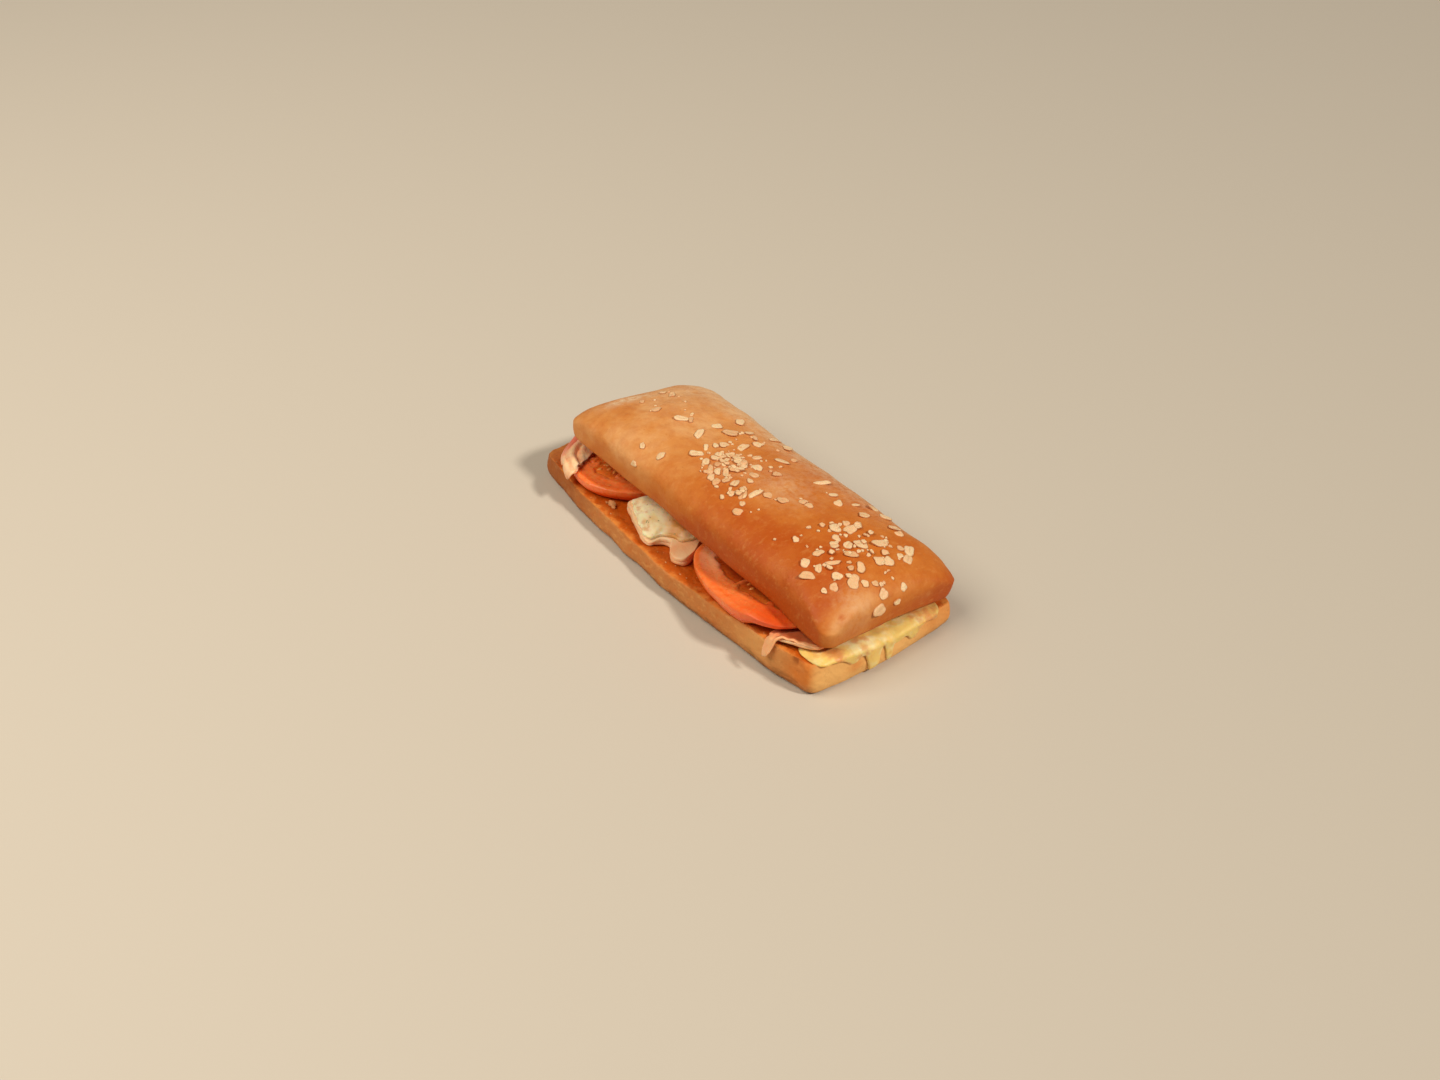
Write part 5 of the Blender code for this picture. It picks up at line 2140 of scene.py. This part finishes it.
@dataclass
class TomatoSeeds:
    """Seeds in the gel of the tomato slices."""

    slices: Sequence[tuple[TomatoSlice, BVHTree]]
    each: int = 46
    half_length: float = 1.3
    half_width: float = 0.8
    half_height: float = 0.4

    def build(self) -> None:
        """Make and dress the seeds."""
        rng = np.random.default_rng(91)
        swarm = Swarm("tomato_seeds")
        round_body, faces = pebble(6, 12)
        taper = 1.0 - 0.35 * round_body[:, :1]
        half = (self.half_length, self.half_width, self.half_height)
        seed = round_body * (np.hstack((np.ones_like(taper), taper, taper)) * half)
        for slice_, tree in self.slices:
            placed_here = 0
            while placed_here < self.each:
                share, angle = rng.uniform(0.28, 0.62), rng.uniform(0.0, TURN)
                if slice_.chamber(np.array([share]), np.array([angle]))[0] < 0.9:
                    continue
                x = slice_.centre[0] + slice_.radii[0] * share * math.cos(angle)
                y = slice_.centre[1] + slice_.radii[1] * share * math.sin(angle)
                spot, normal = landing(tree, x, y)
                lying = (normal + Vector((0.0, 0.0, 1.0))).normalized()
                points = laid(seed, spot, lying, angle + rng.uniform(-0.5, 0.5))
                swarm.add(points, faces, rng.random())
                placed_here += 1
        swarm.piece(SEED, Slot.TOMATO)


@dataclass
class HerbSpecks:
    """Specks of dried green herb in the soft cheese, each (x, y, half its length) in mm."""

    tree: BVHTree
    spots: Rows = ((-18.0, -36.0, 0.8),)
    count: int = 11
    half_height: float = 0.14

    def build(self) -> None:
        """Make and dress the specks."""
        rng = np.random.default_rng(95)
        swarm = Swarm("herb_specks")
        round_body, faces = pebble(4, 8)
        spots = list(self.spots)
        while len(spots) < self.count:
            x, y = rng.uniform(-33.0, 6.0), rng.uniform(-39.0, -27.0)
            spots.append((x, y, rng.uniform(0.3, 0.6)))
        for x, y, half in spots:
            spot, normal = landing(self.tree, x, y)
            if spot is None:
                continue
            points = round_body * (half, half * rng.uniform(0.4, 0.8), self.half_height)
            points = laid(points, spot, normal, rng.uniform(0.0, 6.0))
            swarm.add(points, faces, rng.random())
        swarm.piece(HERB, Slot.CHEESE)


@dataclass
class Crumbs:
    """Bread crumbs on the cut face, and larger torn bits, each (x, y, size), beside the fold."""

    form: RollForm = FORM
    count: int = 26
    torn: Rows = ((-45.0, -36.4, 4.6), (-42.6, -37.2, 2.6), (-47.6, -37.4, 2.0))

    def lump(self, rng: np.random.Generator, size: float) -> Shell:
        """One irregular lump.

        Args:
            rng: source of its form.
            size: about its length in mm.

        Returns:
            Its points and faces.
        """
        points, faces = pebble(6, 10)
        rough = 1.0 + 0.28 * Bumps(0.8, int(rng.integers(1000)), 2).at(points)
        stretch = (size, size * rng.uniform(0.6, 0.9), size * rng.uniform(0.4, 0.7))
        return points * rough[:, None] * stretch * 0.5, faces

    def build(self) -> None:
        """Make and dress the crumbs."""
        rng = np.random.default_rng(97)
        swarm = Swarm("bread_crumbs")
        spots = []
        for _ in range(self.count):
            x = rng.uniform(-94.0, 72.0)
            y = self.form.front_edge(x) + rng.uniform(1.6, 9.0)
            spots.append((x, y, rng.uniform(0.4, 1.0)))
        for x, y, size in (*spots, *self.torn):
            points, faces = self.lump(rng, size)
            height = self.form.cut_height(x, y) - 0.15 + 0.12 * size
            swarm.add(points + np.array((x, y, height)), faces, rng.random())
        swarm.piece(CRUMB, Slot.BREAD)


# ------------ studio


@dataclass(frozen=True)
class Studio:
    """Camera, light and pale floor, with places in metres in the row frame."""

    camera_place: Triple = (0.41669, -0.32357, 0.41050)
    camera_pitch: float = 90.0 - 37.694
    camera_heading: float = 52.81
    lens: float = 37.5
    sensor: float = 36.0
    towards_sun: Triple = (0.91, 0.40, 1.0)
    sun_power: float = 2.14
    sun_angle: float = 7.0
    sun_colour: Triple = (1.0, 0.98, 0.95)
    towards_fill: Triple = (-0.20, -0.90, 1.32)
    fill_distance: float = 1.5
    fill_size: float = 1.0
    fill_power: float = 15.3
    fill_colour: Triple = (1.0, 0.95, 0.88)
    sky_power: float = 0.155
    sky_colour: Colour = (1.0, 0.93, 0.86, 1.0)
    floor: Colour = srgb(203, 190, 169)
    floor_roughness: float = 0.7
    floor_half: float = 6.0

    def build(self) -> None:
        """Set up the camera, the lights and the floor."""
        bpy.context.scene.view_settings.view_transform = "Standard"
        self.set_camera()
        self.set_sun()
        self.set_fill()
        self.set_sky()
        self.lay_floor()

    def set_camera(self) -> None:
        """Place the camera at the photograph's viewing angle."""
        data = bpy.data.cameras.new("camera")
        data.sensor_width = self.sensor
        data.lens = self.lens
        data.clip_start = 0.01
        camera = placed("camera", data)
        camera.location = self.camera_place
        pitch, heading = math.radians(self.camera_pitch), math.radians(self.camera_heading)
        camera.rotation_euler = (pitch, 0.0, heading)
        bpy.context.scene.camera = camera

    def light(
        self, name: str, kind: str, power: float, colour: Triple, towards: Vector
    ) -> bpy.types.Object:
        """Place a light that shines from a direction.

        Args:
            name: its name.
            kind: Blender's name of its kind.
            power: its power.
            colour: its colour.
            towards: the direction that it shines from.

        Returns:
            The light, at the origin.
        """
        lamp = bpy.data.lights.new(name, kind)
        lamp.energy = power
        lamp.color = colour
        made = placed(name, lamp)
        made.rotation_euler = towards.to_track_quat("Z", "Y").to_euler()
        return made

    def set_sun(self) -> None:
        """Place the key light, which throws the shadow."""
        towards = Vector(self.towards_sun)
        sun = self.light("key_light", "SUN", self.sun_power, self.sun_colour, towards)
        sun.data.angle = math.radians(self.sun_angle)

    def set_fill(self) -> None:
        """Place the soft panel that lightens the open side."""
        towards = Vector(self.towards_fill).normalized()
        fill = self.light("fill_light", "AREA", self.fill_power, self.fill_colour, towards)
        fill.data.size = self.fill_size
        fill.location = towards * self.fill_distance

    def set_sky(self) -> None:
        """Light everything a little from all round."""
        world = bpy.data.worlds.new("soft_sky")
        world.use_nodes = True
        background = world.node_tree.nodes["Background"]
        background.inputs["Color"].default_value = self.sky_colour
        background.inputs["Strength"].default_value = self.sky_power
        bpy.context.scene.world = world

    def lay_floor(self) -> None:
        """Lay the pale floor under the sandwich."""
        reach = self.floor_half
        corners = [(x * reach, y * reach, 0.0) for x, y in ((-1, -1), (1, -1), (1, 1), (-1, 1))]
        mesh = bpy.data.meshes.new("floor")
        mesh.from_pydata(corners, [], [(0, 1, 2, 3)])
        recipe = Recipe("pale_floor")
        recipe.shader.inputs["Base Color"].default_value = self.floor
        recipe.shader.inputs["Roughness"].default_value = self.floor_roughness
        mesh.materials.append(recipe.material)
        placed("floor", mesh)


TOMATO_SLICES = (
    TomatoSlice(
        name="tomato_left_slice",
        node="tomato_left",
        centre=LAYERS.left_centre,
        radii=LAYERS.left_radii,
        floor=LAYERS.floor,
        ceiling=LAYERS.left_top,
        chambers=6,
        seed=21,
        reach=0.72,
        dark=((-52.0, -21.0, 14.0, 7.0, 1.0),),
    ),
    TomatoSlice(
        name="tomato_right_slice",
        node="tomato_right",
        centre=LAYERS.right_centre,
        radii=LAYERS.right_radii,
        floor=LAYERS.right_floor,
        ceiling=LAYERS.right_top,
        chambers=7,
        seed=25,
        reach=0.73,
        dark=((40.0, -20.0, 34.0, 16.0, 1.0),),
        bulges=((-2.6, 0.42, 0.085), (-0.85, 0.46, 0.11), (-1.6, 0.3, -0.03)),
        blanched=((14.0, -26.0, 15.0, 16.0, 1.0),),
        ripe=((70.0, -35.0, 13.0, 12.0, 1.0),),
    ),
)


def main() -> None:
    """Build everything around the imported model."""
    logging.basicConfig(level=logging.INFO, format="%(name)s: %(message)s")
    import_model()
    BottomHalf().build()
    crown = TopHalf().build()
    slices = [(tomato, tomato.build()) for tomato in TOMATO_SLICES]
    RuffledTurkey().build()
    FoldedTurkey().build()
    cheese = SoftCheese().build()
    ThinTurkey().build()
    EndCheese().build()
    OatFlakes(crown).build()
    TomatoSeeds(slices).build()
    HerbSpecks(cheese).build()
    Crumbs().build()
    Studio().build()


if __name__ == "__main__":
    main()
